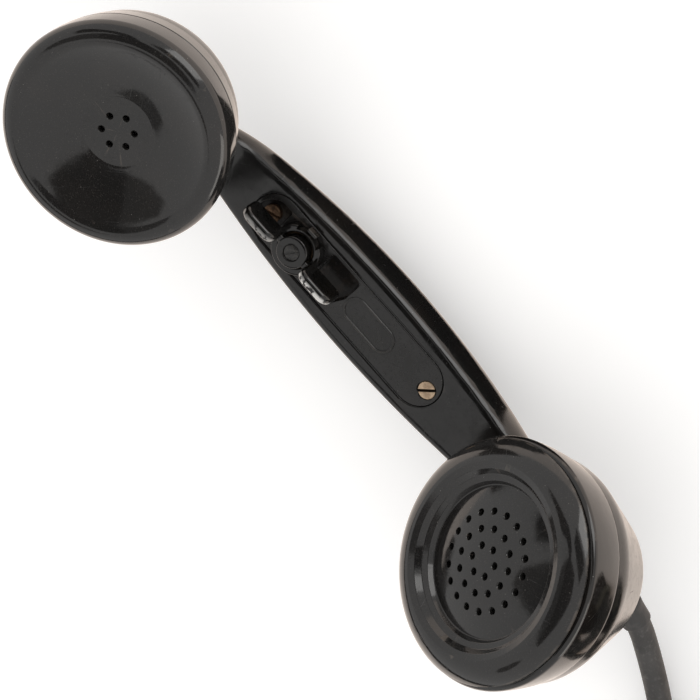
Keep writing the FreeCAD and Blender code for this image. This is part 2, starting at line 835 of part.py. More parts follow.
# Each capsule hangs by its flange on the rim of the neck. A rubber ring, pressed by the cap, holds it.
SEAL_TOPS = {"ear": "ear_ledge", "mouth": "- mouth_ledge"}
CASES = {"ear": "receiver_case", "mouth": "transmitter_case"}
DISCS = {"ear": "receiver_diaphragm", "mouth": "transmitter_diaphragm"}
for side in ("ear", "mouth"):
    neck = side + "_neck_radius"
    drop = side + "_capsule_drop"
    can_bottom = "- %s_can_depth" % side
    can_radius = neck + " - neck_wall - can_gap"

    seal_ring = new_body(side + "_seal_ring", side)
    turned(seal_ring, [
        (neck + " - seal_width - gap", "- %s + flange + diaphragm + thin_gap" % drop),
        (neck + " - gap", "- %s + flange + diaphragm + thin_gap" % drop),
        (neck + " - gap", SEAL_TOPS[side] + " - thin_gap"),
        (neck + " - seal_width - gap", SEAL_TOPS[side] + " - thin_gap"),
    ])

    case = new_body(CASES[side], side)
    turned(case, [
        ("0", can_bottom),
        (can_radius, can_bottom),
        (can_radius, "- " + drop),
        (neck + " - gap", "- " + drop),
        (neck + " - gap", "- %s + flange" % drop),
        (can_radius + " - can_wall", "- %s + flange" % drop),
        (can_radius + " - can_wall", can_bottom + " + can_wall"),
        ("0", can_bottom + " + can_wall"),
    ])

    disc = new_body(DISCS[side], side)
    skin = "- %s + flange" % drop
    if side == "ear":
        corners = [("0", skin), (neck + " - 3 * gap", skin)]
    else:
        corners = [("0", skin + " - button_length"), ("button_radius", skin + " - button_length"),
                   ("button_radius", skin), (neck + " - 3 * gap", skin)]
    turned(disc, corners + [(neck + " - 3 * gap", skin + " + diaphragm"), ("0", skin + " + diaphragm")])

# receiver: ring magnet, a yoke with two poles, and a coil on each pole
EAR_FLOOR = "- ear_can_depth + can_wall"
receiver_magnet = new_body("receiver_magnet", "ear")
turned(receiver_magnet, [
    ("magnet_bore", EAR_FLOOR),
    ("magnet_radius", EAR_FLOOR),
    ("magnet_radius", EAR_FLOOR + " + magnet_height"),
    ("magnet_bore", EAR_FLOOR + " + magnet_height"),
])

receiver_poles = new_body("receiver_poles", "ear")
padded(receiver_poles, EAR_FLOOR, "yoke_height", corners=[
    ("- coil_reach - pole_radius", "- yoke_width / 2"),
    ("coil_reach + pole_radius", "- yoke_width / 2"),
    ("coil_reach + pole_radius", "yoke_width / 2"),
    ("- coil_reach - pole_radius", "yoke_width / 2"),
])
padded(receiver_poles, EAR_FLOOR,
       "ear_can_depth - can_wall - ear_capsule_drop + flange - pole_gap",
       circles=[("coil_reach", "0", "pole_radius"), ("- coil_reach", "0", "pole_radius")])

for number, reach in ((1, "- coil_reach"), (2, "coil_reach")):
    coil = new_body("receiver_coil_%d" % number, "ear")
    padded(coil, EAR_FLOOR + " + yoke_height", "coil_height",
           circles=[(reach, "0", "coil_radius"), (reach, "0", "pole_radius + thin_gap")])

# transmitter: an open cup of carbon grains under the button of the diaphragm
carbon_chamber = new_body("carbon_chamber", "mouth")
turned(carbon_chamber, [
    ("0", "- mouth_can_depth + can_wall"),
    ("carbon_radius", "- mouth_can_depth + can_wall"),
    ("carbon_radius", "- mouth_can_depth + can_wall + carbon_height"),
    ("carbon_radius - carbon_wall", "- mouth_can_depth + can_wall + carbon_height"),
    ("carbon_radius - carbon_wall", "- mouth_can_depth + can_wall + carbon_wall"),
    ("0", "- mouth_can_depth + can_wall + carbon_wall"),
])

# Behind each capsule an insulating disc rests on the bowl's cone and carries two contact springs.
TERMINALS = {"ear": "terminal_radius", "mouth": "mouth_terminal_radius"}
for side in ("ear", "mouth"):
    level = "- %s_terminal_depth" % side
    disc = new_body(side + "_terminal_disc", side)
    padded(disc, level, "terminal_thick", circles=[("0", "0", TERMINALS[side])], down=True)
    rise = size(side + "_terminal_depth") - size(side + "_can_depth") - size("thin_gap")
    foot, reach = size("spring_foot"), size("spring_reach")
    thick, half = size("spring_thick"), size("spring_width") / 2
    base = -size(side + "_terminal_depth")
    lip = size("spring_lip")
    corners = [(0, 0), (foot, 0), (reach, rise - thick), (reach + lip, rise), (reach - lip / 2, rise),
               (foot - thick / 2, thick), (0, thick)]
    for number, across in ((1, -1), (2, 1)):
        middle = across * size("spring_pitch") / 2
        profile = [Vector(x - foot, middle - half, base + z) for x, z in corners]
        leaf = Part.Face(Part.makePolygon(profile + profile[:1])).extrude(Vector(0, 2 * half, 0))
        solid_piece("%s_contact_spring_%d" % (side, number), leaf, side)

# ---- cover plate ------------------------------------------------------------------------------------

switch_plate = new_body("switch_plate", "face")
padded(switch_plate, "0", "plate_thick", down=True, corners=[
    ("- plate_ear_end + plate_width / 2", "- plate_width / 2"),
    ("plate_mouth_end - plate_width / 2", "- plate_width / 2", "plate_width / 2", 1),
    ("plate_mouth_end", "0", "plate_width / 2", 1),
    ("plate_mouth_end - plate_width / 2", "plate_width / 2"),
    ("- plate_ear_end + plate_width / 2", "plate_width / 2", "plate_width / 2", 1),
    ("- plate_ear_end", "0", "plate_width / 2", 1),
])
# stop lug beside the key's hub, which the notch in its ring turns against
padded(switch_plate, "0", "stop_height", corners=[
    ("- key_reach - stop_width / 2", "key_notch_radius + gap"),
    ("- key_reach + stop_width / 2", "key_notch_radius + gap"),
    ("- key_reach + stop_width / 2", "plate_width / 2 - 2 * thin_gap"),
    ("- key_reach - stop_width / 2", "plate_width / 2 - 2 * thin_gap"),
])
# bare raised frame
FRAME_LOW = "frame_reach - frame_length / 2"
FRAME_HIGH = "frame_reach + frame_length / 2"


def frame_loop(inset):
    half = "frame_width / 2" + inset
    low = FRAME_LOW + " + frame_width / 2"
    high = FRAME_HIGH + " - frame_width / 2"
    return [
        (low, "- frame_width / 2" + inset.replace("-", "+")),
        (high, "- frame_width / 2" + inset.replace("-", "+"), half, 1),
        (FRAME_HIGH + inset, "0", half, 1),
        (high, half),
        (low, half, half, 1),
        (FRAME_LOW + inset.replace("-", "+"), "0", half, 1),
    ]


frame_sketch = new_sketch(switch_plate, "XY_Plane")
outline(frame_sketch, frame_loop(""))
outline(frame_sketch, frame_loop(" - frame_band"))
frame_pad = switch_plate.newObject("PartDesign::Pad", "frame_pad")
frame_pad.Profile = frame_sketch
frame_pad.setExpression("Length", bound("frame_height"))
doc.recompute()

# two shallow pockets, one at each side of the hub, and the holes
HUB_GAP = "key_ring_radius + pocket_hub_gap"
POCKET_SIDE = "plate_width / 2 - pocket_edge"
pocketed(switch_plate, "0", "pocket_depth", corners=[
    ("- key_reach - %s" % HUB_GAP.replace("+", "-"), "- " + POCKET_SIDE.replace("- p", "+ p")),
    ("- key_reach - %s" % HUB_GAP.replace("+", "-"), POCKET_SIDE + " - pocket_edge"),
    ("- plate_ear_end + plate_width / 2 - pocket_round", POCKET_SIDE + " - pocket_edge",
     "plate_width / 2 - pocket_edge", 1),
    ("- plate_ear_end + pocket_edge", "0"),
    ("- plate_ear_end + pocket_edge", "- pocket_round", "plate_width / 2 - pocket_edge", 1),
    ("- plate_ear_end + plate_width / 2 - pocket_round", "- " + POCKET_SIDE.replace("- p", "+ p")),
])
pocketed(switch_plate, "0", "pocket_depth", corners=[
    ("- key_reach + " + HUB_GAP, "- " + POCKET_SIDE.replace("- p", "+ p")),
    ("- key_reach + %s + mouth_pocket_length - mouth_pocket_slant" % HUB_GAP,
     "- " + POCKET_SIDE.replace("- p", "+ p")),
    ("- key_reach + %s + mouth_pocket_length" % HUB_GAP, "0"),
    ("- key_reach + %s + mouth_pocket_length" % HUB_GAP, POCKET_SIDE),
    ("- key_reach + " + HUB_GAP, POCKET_SIDE),
])
pocketed(switch_plate, "0", "plate_thick + gap", circles=[
    ("- key_reach", "0", "spindle_radius + gap"),
    (MOUTH_SCREW, "0", "screw_shank + seat_gap"),
    (EAR_SCREW, "0", "screw_shank + seat_gap"),
])
pocketed(switch_plate, "0", "screw_head_thick",
         circles=[(MOUTH_SCREW, "0", "screw_head + seat_gap")])
SCREW_ROW = "- key_reach + block_reach + block_length / 2"
pocketed(switch_plate, "- plate_thick + block_screw_grip", "block_screw_grip + gap", circles=[
    (SCREW_ROW + " - block_screw_pitch / 2", "0", "block_screw + thin_gap"),
    (SCREW_ROW + " + block_screw_pitch / 2", "0", "block_screw + thin_gap"),
])

# each screw's name, place, the height of its head and the turn at which its slot came to rest
SCREWS = (
    ("plate_screw_mouth", MOUTH_SCREW, "0", 50),
    ("plate_screw_ear", EAR_SCREW, "- pocket_depth + screw_head_thick", 20),
)
for name, reach, top, turn in SCREWS:
    screw = new_body(name, "face")
    padded(screw, top, "screw_head_thick", circles=[(reach, "0", "screw_head")], down=True)
    padded(screw, top, "screw_head_thick + screw_length", circles=[(reach, "0", "screw_shank")],
           down=True)
    slot = new_sketch(screw, "XY_Plane", top)
    spot = Vector(value(reach), 0, value(top))
    slot.AttachmentOffset = Placement(spot, Rotation(Vector(0, 0, 1), turn))
    slot.setExpression("AttachmentOffset.Base.x", bound(reach))
    outline(slot, [("- screw_head - gap", "- slot_width / 2"), ("screw_head + gap", "- slot_width / 2"),
                   ("screw_head + gap", "slot_width / 2"), ("- screw_head - gap", "slot_width / 2")])
    cut = screw.newObject("PartDesign::Pocket", name + "_slot")
    cut.Profile = slot
    cut.setExpression("Length", bound("slot_depth"))
    doc.recompute()

# ---- talk key: hub, two wings, spindle with crank ---------------------------------------------------

talk_key = new_body("talk_key", "key")
turned(talk_key, [
    ("spindle_radius + thin_gap", "key_lift"),
    ("key_ring_radius", "key_lift"),
    ("key_ring_radius", "key_ring_height"),
    ("key_moat_outer", "key_ring_height"),
    ("key_moat_outer", "key_moat_floor"),
    ("key_disc_radius", "key_moat_floor"),
    ("key_disc_radius", "key_disc_height"),
    ("hub_screw_radius + seat_gap", "key_disc_height"),
    ("hub_screw_radius + seat_gap", "key_screw_seat"),
    ("spindle_radius + thin_gap", "key_screw_seat"),
])


def upright(body, corners, thickness):
    """A pad of even thickness about the body's XZ plane."""
    sketch = new_sketch(body, "XZ_Plane")
    outline(sketch, corners)
    feature = body.newObject("PartDesign::Pad", body.Label + "_upright")
    feature.Profile = sketch
    feature.SideType = "Symmetric"
    feature.setExpression("Length", bound(thickness))
    doc.recompute()
    return feature


wing = upright(talk_key, [
    ("wing_root", "wing_foot"),
    ("wing_reach - wing_toe", "wing_foot", "wing_toe", 1),
    ("wing_reach", "wing_foot + wing_toe"),
    ("wing_reach", "wing_height - wing_round", "wing_round", 1),
    ("wing_reach - wing_round", "wing_height"),
    ("wing_root + wing_round", "wing_height", "wing_round", 1),
    ("wing_root", "wing_height - wing_round"),
], "wing_thick")
repeated(talk_key, wing, 2)
WING_FLANK = size("wing_thick") / 2
RING_EDGE = size("key_ring_radius")
rounded(talk_key, "wing_edge", lambda edge: (
    abs(abs(edge.CenterOfMass.y) - WING_FLANK) < 0.01 and edge.BoundBox.YLength < 0.01
    and abs(edge.CenterOfMass.x) > RING_EDGE and edge.CenterOfMass.z > size("wing_foot") - 0.01))
web = upright(talk_key, [
    ("key_disc_radius - web_thick / 2", "web_foot"),
    ("wing_root + web_thick / 2", "web_foot"),
    ("wing_root + web_thick / 2", "web_height"),
    ("key_disc_radius - web_thick / 2", "web_height"),
], "web_thick")
repeated(talk_key, web, 2)
notch_sketch = new_sketch(talk_key, "YZ_Plane")
outline(notch_sketch, [
    ("key_notch_radius", "key_lift - seat_gap"),
    ("key_ring_radius + gap", "key_lift - seat_gap"),
    ("key_ring_radius + gap", "key_ring_height + seat_gap"),
    ("key_notch_radius", "key_ring_height + seat_gap"),
])
before_notch = talk_key.Shape.Volume
notch = talk_key.newObject("PartDesign::Groove", "key_notch")
notch.Profile = notch_sketch
notch.ReferenceAxis = (notch_sketch, ["V_Axis"])
notch.setExpression("Angle", bound("key_notch_angle"))
notch.Midplane = True
doc.recompute()
if talk_key.Shape.Volume > before_notch - 1:
    raise RuntimeError("the notch of the key's ring cuts nothing")

key_spindle = new_body("key_spindle", "key")
turned(key_spindle, [
    ("0", "- spindle_end"),
    ("crank_radius", "- spindle_end"),
    ("crank_radius", "- spindle_end + crank_thick"),
    ("spindle_radius", "- spindle_end + crank_thick"),
    ("spindle_radius", "key_screw_seat - thin_gap"),
    ("hub_shank_radius + thin_gap", "key_screw_seat - thin_gap"),
    ("hub_shank_radius + thin_gap", "key_screw_seat - hub_shank_length - gap"),
    ("0", "key_screw_seat - hub_shank_length - gap"),
])
padded(key_spindle, "- spindle_end", "slide_drop + slide_thick", down=True,
       circles=[("0", "crank_throw", "crank_pin")])

key_screw = new_body("key_screw", "key")
turned(key_screw, [
    ("0", "key_screw_seat - hub_shank_length"),
    ("hub_shank_radius", "key_screw_seat - hub_shank_length"),
    ("hub_shank_radius", "key_screw_seat + thin_gap"),
    ("hub_screw_radius", "key_screw_seat + thin_gap"),
    ("hub_screw_radius", "key_screw_seat + hub_screw_height"),
    ("0", "key_screw_seat + hub_screw_height"),
])
pocketed(key_screw, "key_screw_seat + hub_screw_height", "slot_depth", corners=[
    ("- hub_screw_radius - gap", "- slot_width / 2"),
    ("hub_screw_radius + gap", "- slot_width / 2"),
    ("hub_screw_radius + gap", "slot_width / 2"),
    ("- hub_screw_radius - gap", "slot_width / 2"),
])

key_ring = new_body("key_ring", "key")
turned(key_ring, [
    ("key_disc_radius + 2 * thin_gap", "key_moat_floor + thin_gap"),
    ("key_moat_outer - 2 * thin_gap", "key_moat_floor + thin_gap"),
    ("key_moat_outer - 2 * thin_gap", "key_moat_floor + brass_ring_height"),
    ("key_disc_radius + 2 * thin_gap", "key_moat_floor + brass_ring_height"),
])


def return_spring_shape():
    """The torsion coil round the spindle, between the plate and the crank."""
    wire, reach = size("return_wire"), size("return_radius")
    pitch = size("return_pitch")
    start = size("crank_thick") - size("spindle_end") + wire + size("thin_gap")
    helix = Part.makeHelix(pitch, pitch * size("return_turns"), reach)
    helix.translate(Vector(0, 0, start))
    profile = Part.Wire(Part.makeCircle(wire, Vector(reach, 0, start), Vector(0, 1, 0)))
    return Part.Wire(helix.Edges).makePipeShell([profile], True, True)


solid_piece("key_return_spring", return_spring_shape(), "key")

# ---- contacts under the plate: sliding bar, insulating block with rails, leaves and screws ---------

SLIDE_TOP = "- spindle_end - slide_drop"
contact_slide = new_body("contact_slide", "key")
padded(contact_slide, SLIDE_TOP, "slide_thick", down=True, corners=[
    ("- slide_tail", "- slide_width / 2"),
    ("slide_length - slide_tail", "- slide_width / 2"),
    ("slide_length - slide_tail", "slide_width / 2"),
    ("- slide_tail", "slide_width / 2"),
])
# the fork that the crank pin moves in, open to the side
pocketed(contact_slide, SLIDE_TOP, "slide_thick + gap", corners=[
    ("- crank_pin - fork_gap", "crank_throw - 2 * crank_pin"),
    ("crank_pin + fork_gap", "crank_throw - 2 * crank_pin"),
    ("crank_pin + fork_gap", "slide_width / 2 + gap"),
    ("- crank_pin - fork_gap", "slide_width / 2 + gap"),
])

BLOCK_TOP = "- plate_thick"
RAIL_INNER = "slide_width / 2 + rail_gap"
RAIL_OUTER = "slide_width / 2 + rail_gap + rail_wall"
RAIL_FOOT = "- spindle_end - slide_drop - slide_thick - rail_gap"
contact_block = new_body("contact_block", "key")
block_sketch = new_sketch(contact_block, "YZ_Plane", "block_reach")
outline(block_sketch, [
    ("- " + RAIL_OUTER.replace("+", "-"), BLOCK_TOP),
    ("- " + RAIL_OUTER.replace("+", "-"), RAIL_FOOT + " - rail_lip"),
    ("- " + RAIL_INNER.replace("+", "-") + " + rail_lip", RAIL_FOOT + " - rail_lip"),
    ("- " + RAIL_INNER.replace("+", "-") + " + rail_lip", RAIL_FOOT),
    ("- " + RAIL_INNER.replace("+", "-"), RAIL_FOOT),
    ("- " + RAIL_INNER.replace("+", "-"), BLOCK_TOP + " - block_height"),
    (RAIL_INNER, BLOCK_TOP + " - block_height"),
    (RAIL_INNER, RAIL_FOOT),
    (RAIL_INNER + " - rail_lip", RAIL_FOOT),
    (RAIL_INNER + " - rail_lip", RAIL_FOOT + " - rail_lip"),
    (RAIL_OUTER, RAIL_FOOT + " - rail_lip"),
    (RAIL_OUTER, BLOCK_TOP),
])
block_pad = contact_block.newObject("PartDesign::Pad", "block_pad")
block_pad.Profile = block_sketch
block_pad.setExpression("Length", bound("block_length"))
doc.recompute()
BLOCK_HOLE = "block_reach + block_length / 2"
pocketed(contact_block, BLOCK_TOP, "block_height + gap", circles=[
    (BLOCK_HOLE + " - block_screw_pitch / 2", "0", "block_screw + thin_gap"),
    (BLOCK_HOLE + " + block_screw_pitch / 2", "0", "block_screw + thin_gap"),
])

LEAF_TOP = BLOCK_TOP + " - block_height"
for number, sign in ((1, "-"), (2, "+")):
    screw = new_body("block_screw_%d" % number, "key")
    across = BLOCK_HOLE + " %s block_screw_pitch / 2" % sign
    padded(screw, LEAF_TOP, "block_screw_head / 2", circles=[(across, "0", "block_screw_head")],
           down=True)
    padded(screw, LEAF_TOP, "block_height + block_screw_grip - thin_gap",
           circles=[(across, "0", "block_screw")])

    leaf = new_body("contact_leaf_%d" % number, "key")
    middle = "leaf_pitch / 2" if sign == "+" else "- leaf_pitch / 2"
    padded(leaf, LEAF_TOP, "leaf_thick", down=True, corners=[
        ("block_reach + gap", middle + " - leaf_width / 2"),
        ("block_reach + gap + leaf_length", middle + " - leaf_width / 2"),
        ("block_reach + gap + leaf_length", middle + " + leaf_width / 2"),
        ("block_reach + gap", middle + " + leaf_width / 2"),
    ])
    padded(leaf, LEAF_TOP, "leaf_dimple", down=True,
           circles=[("block_reach + leaf_length - leaf_width / 2", middle, "leaf_width / 2")])

WIRE_OFFSET = size("wire_pitch") / 2
for number, across in ((1, -WIRE_OFFSET), (2, WIRE_OFFSET)):
    solid_piece("ear_wire_%d" % number, duct(EAR_DUCT, size("wire_radius"), across))
    solid_piece("mouth_wire_%d" % number, duct(MOUTH_DUCT, size("wire_radius"), across))

# ---- cord: entry, lead, coil, tail and plug ---------------------------------------------------------
# The lead leaves the back of the mouth bowl, comes down to the floor and runs to a coil that is tied
# for storage. The tail climbs over the coil to the plug, which lies on it. The route's points are
# chosen by hand, and the coil's turns lie a diameter apart.

CORD_RADIUS = size("cord_radius")
COIL_HEIGHT = 4 * CORD_RADIUS
COIL_CENTRE = Vector(192, 12, 0)
PLUG_LEVEL = COIL_HEIGHT + size("plug_radius") + size("thin_gap")
LEAD_ROUTE = [seat_placement("gland").multVec(Vector(0, 0, -size("cord_inside"))),
              seat_placement("gland").multVec(Vector(0, 0, size("cord_stub"))), Vector(126.5, -14, 6.3),
              Vector(144.7, -27.9, 3.5), Vector(170.6, -35.9, 3.5), Vector(197.6, -34.2, 3.5)]
TAIL_ROUTE = [Vector(179.4, -31.3, 10.5), Vector(194.8, -32.9, 13), Vector(208.6, -26.8, 20),
              Vector(217.9, -13.9, PLUG_LEVEL), Vector(219.5, 3.3, PLUG_LEVEL)]


def route_edges(points):
    """Straight runs joined by arcs, each as large as its two runs allow."""
    edges = []
    start = points[0]
    radii = []
    for before, corner, after in zip(points, points[1:], points[2:]):
        run_in, run_out = corner - before, after - corner
        half_turn = run_in.getAngle(run_out) / 2
        trim = 0.45 * min(run_in.Length, run_out.Length)
        radii.append(trim / math.tan(half_turn))
        first = corner - Vector(run_in).normalize() * trim
        last = corner + Vector(run_out).normalize() * trim
        inward = (first + last) / 2 - corner
        middle = corner + inward.normalize() * radii[-1] * (1 / math.cos(half_turn) - 1)
        edges.append(Part.LineSegment(start, first).toShape())
        edges.append(Part.Arc(first, middle, last).toShape())
        start = last
    edges.append(Part.LineSegment(start, points[-1]).toShape())
    print("arc radii", [round(radius, 1) for radius in radii])
    return edges


def swept(edges, start_radius, end_radius):
    """A round bar along edges; its radius may change from one end to the other."""
    wire = Part.Wire(edges)
    first, last = edges[0], edges[-1]
    opening = Part.Wire(Part.makeCircle(start_radius, first.valueAt(first.FirstParameter),
                                        first.tangentAt(first.FirstParameter)))
    closing = Part.Wire(Part.makeCircle(end_radius, last.valueAt(last.LastParameter),
                                        last.tangentAt(last.LastParameter)))
    profiles = [opening] if start_radius == end_radius else [opening, closing]
    return wire.makePipeShell(profiles, True, False)


lead_edges = route_edges(LEAD_ROUTE)
tail_edges = route_edges(TAIL_ROUTE)
for name, edges in (("cord_lead", lead_edges), ("cord_tail", tail_edges)):
    bar = swept(edges, CORD_RADIUS, CORD_RADIUS)
    length = sum(edge.Length for edge in edges)
    if abs(bar.Volume / (math.pi * CORD_RADIUS ** 2 * length) - 1) > 0.001:
        raise RuntimeError(name + " doesn't keep its section along its route")
    print(name, "length", round(length, 1))
    solid_piece(name, bar)

# two flat layers: the lower one winds inward, the upper one outward
COIL_INNER = size("coil_inner")
COIL_OUTER = size("coil_outer")
coil_ring = Part.makeCylinder(COIL_OUTER, COIL_HEIGHT, COIL_CENTRE)
coil_ring = coil_ring.cut(Part.makeCylinder(COIL_INNER, COIL_HEIGHT, COIL_CENTRE))
solid_piece("cord_coil", coil_ring)

TIE_TURN = 150
tie_half = size("tie_width") / 2
tie_wall = size("tie_thick")
tie_outer = block(COIL_INNER - tie_wall, COIL_OUTER + tie_wall, -tie_half, tie_half, 0,
                  COIL_HEIGHT + tie_wall)
slack = size("tie_slack")
tie_inner = block(COIL_INNER - slack, COIL_OUTER + slack, -tie_half, tie_half, 0,
                  COIL_HEIGHT + size("thin_gap"))
tie = tie_outer.cut(tie_inner)
tie.rotate(Vector(0, 0, 0), Vector(0, 0, 1), TIE_TURN)
tie.translate(COIL_CENTRE)
solid_piece("cord_tie", tie)

# gland: stem through the wall, flange inside it and a tapered tail that follows the cord
inner_flange = Part.makeCylinder(size("gland_flange"), size("gland_flange_thick"),
                                 Vector(0, 0, -size("gland_land") - size("gland_flange_thick")))
stem = Part.makeCylinder(size("gland_stem"), size("gland_land"), Vector(0, 0, -size("gland_land")))
mouth_of_gland = seat_placement("gland").Base
lead_start = Part.LineSegment(mouth_of_gland, lead_edges[0].valueAt(lead_edges[0].LastParameter))
tail_taper = swept([lead_start.toShape(), lead_edges[1]], size("gland_radius"), size("gland_tip"))
gland = fused([seated(inner_flange, "gland"), seated(stem, "gland"), tail_taper])
gland = gland.cut(swept(lead_edges[:3], CORD_RADIUS + size("thin_gap"), CORD_RADIUS + size("thin_gap")))
solid_piece("cord_gland", gland)

ferrule_end = -size("gland_land") - size("gland_flange_thick") - size("thin_gap")
ferrule = Part.makeCylinder(size("ferrule_radius"), size("ferrule_length"),
                            Vector(0, 0, ferrule_end - size("ferrule_length")))
ferrule = ferrule.cut(Part.makeCylinder(CORD_RADIUS + size("thin_gap"), OVERRUN,
                                        Vector(0, 0, ferrule_end - OVERRUN / 2)))
solid_piece("cord_ferrule", ferrule, "gland")

cord_end = LEAD_ROUTE[0]
landing_drop = size("mouth_terminal_depth") + size("terminal_thick") + 2 * size("thin_gap")
for number, sign in ((1, -1), (2, 1)):
    across = sign * size("core_spread")
    spot = Vector(-size("core_landing"), sign * size("core_fan"), -landing_drop)
    landing = seat_placement("mouth").multVec(spot)
    solid_piece("cord_core_%d" % number, tube(cord_end + Vector(0, across, 0), landing,
                                              size("wire_radius")))

# plug: nut, body and four pins on a circle
HEADING = Vector(TAIL_ROUTE[-1] - TAIL_ROUTE[-2]).normalize()
PLUG_AXIS = Vector(-HEADING.y, HEADING.x, 0)
SEATS["plug"] = (str(TAIL_ROUTE[-1].x), str(TAIL_ROUTE[-1].y),
                 "4 * cord_radius + plug_radius + thin_gap", PLUG_AXIS, "90")

plug_nut = new_body("plug_nut", "plug")
turned(plug_nut, [
    ("cord_radius + thin_gap", "0"),
    ("plug_nut_radius - cord_radius", "0"),
    ("plug_nut_radius", "cord_radius"),
    ("plug_nut_radius", "plug_nut_length"),
    ("cord_radius + thin_gap", "plug_nut_length"),
])
plug_body = new_body("plug_body", "plug")
turned(plug_body, [
    ("0", "plug_nut_length"),
    ("plug_waist", "plug_nut_length"),
    ("plug_waist", "plug_nut_length + plug_length - plug_rim"),
    ("plug_radius", "plug_nut_length + plug_length - plug_rim"),
    ("plug_radius", "plug_nut_length + plug_length"),
    ("0", "plug_nut_length + plug_length"),
])
socket = pocketed(plug_body, "plug_nut_length + plug_length", "plug_pin_root",
                  circles=[("plug_pin_circle", "0", "plug_pin_neck + thin_gap")])
repeated(plug_body, socket, 4)
for number in range(4):
    pin = new_body("plug_pin_%d" % (number + 1), "plug")
    across = [("plug_pin_circle", "0"), ("0", "plug_pin_circle"), ("- plug_pin_circle", "0"),
              ("0", "- plug_pin_circle")][number]
    # the root is thinner than the pin, which starts a little above the body's face
    padded(pin, "plug_nut_length + plug_length - plug_pin_root + thin_gap",
           "plug_pin_root + plug_pin_lift - thin_gap",
           circles=[(across[0], across[1], "plug_pin_neck")])
    padded(pin, "plug_nut_length + plug_length + plug_pin_lift", "plug_pin_length - plug_pin_lift",
           circles=[(across[0], across[1], "plug_pin_radius")])

# ---- check and write --------------------------------------------------------------------------------

doc.recompute()
for item in doc.Objects:
    for state in item.State:
        if state in ("Invalid", "Error"):
            raise RuntimeError("%s is %s" % (item.Name, state))

pieces = [item for item in doc.Objects if item.TypeId in ("PartDesign::Body", "Part::Feature")]
pieces = [item for item in pieces if not item.getParentGeoFeatureGroup()]
os.makedirs("parts", exist_ok=True)
for piece in pieces:
    shape = piece.Shape
    if shape.isNull() or not shape.isValid():
        raise RuntimeError(piece.Label + " has no valid shape")
    if len(shape.Solids) != 1:
        raise RuntimeError("%s has %d solids" % (piece.Label, len(shape.Solids)))
for piece in pieces:
    piece.Shape.exportStep("parts/%s.step" % piece.Label)
print(len(pieces), "pieces written")
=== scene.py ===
import bmesh
import bpy
import math
import numpy as np
from mathutils import Matrix, Vector


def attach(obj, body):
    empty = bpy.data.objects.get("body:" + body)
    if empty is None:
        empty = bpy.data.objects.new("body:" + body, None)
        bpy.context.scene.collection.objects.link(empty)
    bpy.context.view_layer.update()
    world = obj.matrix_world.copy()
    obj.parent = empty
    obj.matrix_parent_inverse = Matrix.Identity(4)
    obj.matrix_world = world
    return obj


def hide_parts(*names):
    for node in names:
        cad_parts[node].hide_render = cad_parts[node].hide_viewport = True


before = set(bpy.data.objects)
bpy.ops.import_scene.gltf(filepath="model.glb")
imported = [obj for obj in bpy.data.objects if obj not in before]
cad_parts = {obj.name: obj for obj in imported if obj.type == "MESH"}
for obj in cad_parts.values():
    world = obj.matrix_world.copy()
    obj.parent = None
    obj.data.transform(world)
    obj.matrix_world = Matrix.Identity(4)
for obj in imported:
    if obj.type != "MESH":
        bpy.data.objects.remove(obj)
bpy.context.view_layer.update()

scene = bpy.context.scene
scene.view_settings.view_transform = "Standard"

# ---- Studio: camera, pale table and lamps ------------------------------------------------------------
# A long lens looks steeply down on the handset, which lies on a white table in an even pale room. One
# broad lamp stands low behind the camera and one beside it. The black cards above and on the table are
# there only for the polished surfaces to mirror.

camera_place = Vector((0.04710, 0.51028, 0.91501))
camera_right = Vector((0.66066, 0.63464, -0.40096))
camera_up = Vector((-0.74956, 0.58689, -0.30613))
camera_back = Vector((0.04104, 0.50279, 0.86344))
sensor = 36.0
focal_pixels = 3783.9
frame_pixels = 700.0


def placed(name, data):
    """A new object in the scene."""
    item = bpy.data.objects.new(name, data)
    scene.collection.objects.link(item)
    return item


camera = placed("camera", bpy.data.cameras.new("camera"))
camera.data.sensor_width = sensor
camera.data.lens = sensor * focal_pixels / frame_pixels
camera.data.clip_start = 0.05
camera.data.clip_end = 20.0
camera.matrix_world = Matrix.LocRotScale(
    camera_place, Matrix((camera_right, camera_up, camera_back)).transposed(), None)
scene.camera = camera


def lamp(name, target, way, distance, size, radiance, tint):
    """A flat rectangular lamp that shines on a target from a given way."""
    light = bpy.data.lights.new(name, "AREA")
    light.shape = "RECTANGLE"
    light.size = size[0]
    light.size_y = size[1]
    light.energy = radiance * size[0] * size[1] * math.pi
    light.color = tint
    holder = placed(name, light)
    way = Vector(way).normalized()
    holder.location = Vector(target) + way * distance
    holder.rotation_mode = "QUATERNION"
    holder.rotation_quaternion = way.to_track_quat("Z", "Y")


lamp_target = (0, 0, 0.02)
lamp("lamp_low", lamp_target, (0.01, 0.965, 0.26), 1.45, (0.76, 0.90), 2.8, (1.0, 0.99, 0.97))
lamp("lamp_side", lamp_target, (0.97, 0.10, 0.20), 1.4, (1.1, 0.5), 2.4, (1.0, 0.95, 0.88))


def dark_card(name, corners, glow=0.0):
    """A dark card that only mirrors see; glow is how much of the room's light it gives back."""
    card_mesh = bpy.data.meshes.new(name)
    card_mesh.from_pydata(corners, [], [tuple(range(len(corners)))])
    card = placed(name, card_mesh)
    black = bpy.data.materials.new(name + "_black")
    black.use_nodes = True
    card_shader = black.node_tree.nodes["Principled BSDF"]
    card_shader.inputs["Base Color"].default_value = (0.004, 0.004, 0.004, 1.0)
    card_shader.inputs["Roughness"].default_value = 0.9
    card_shader.inputs["Emission Color"].default_value = (1.0, 0.98, 0.96, 1.0)
    card_shader.inputs["Emission Strength"].default_value = glow
    card_mesh.materials.append(black)
    card.visible_camera = False
    card.visible_diffuse = False
    card.visible_shadow = False


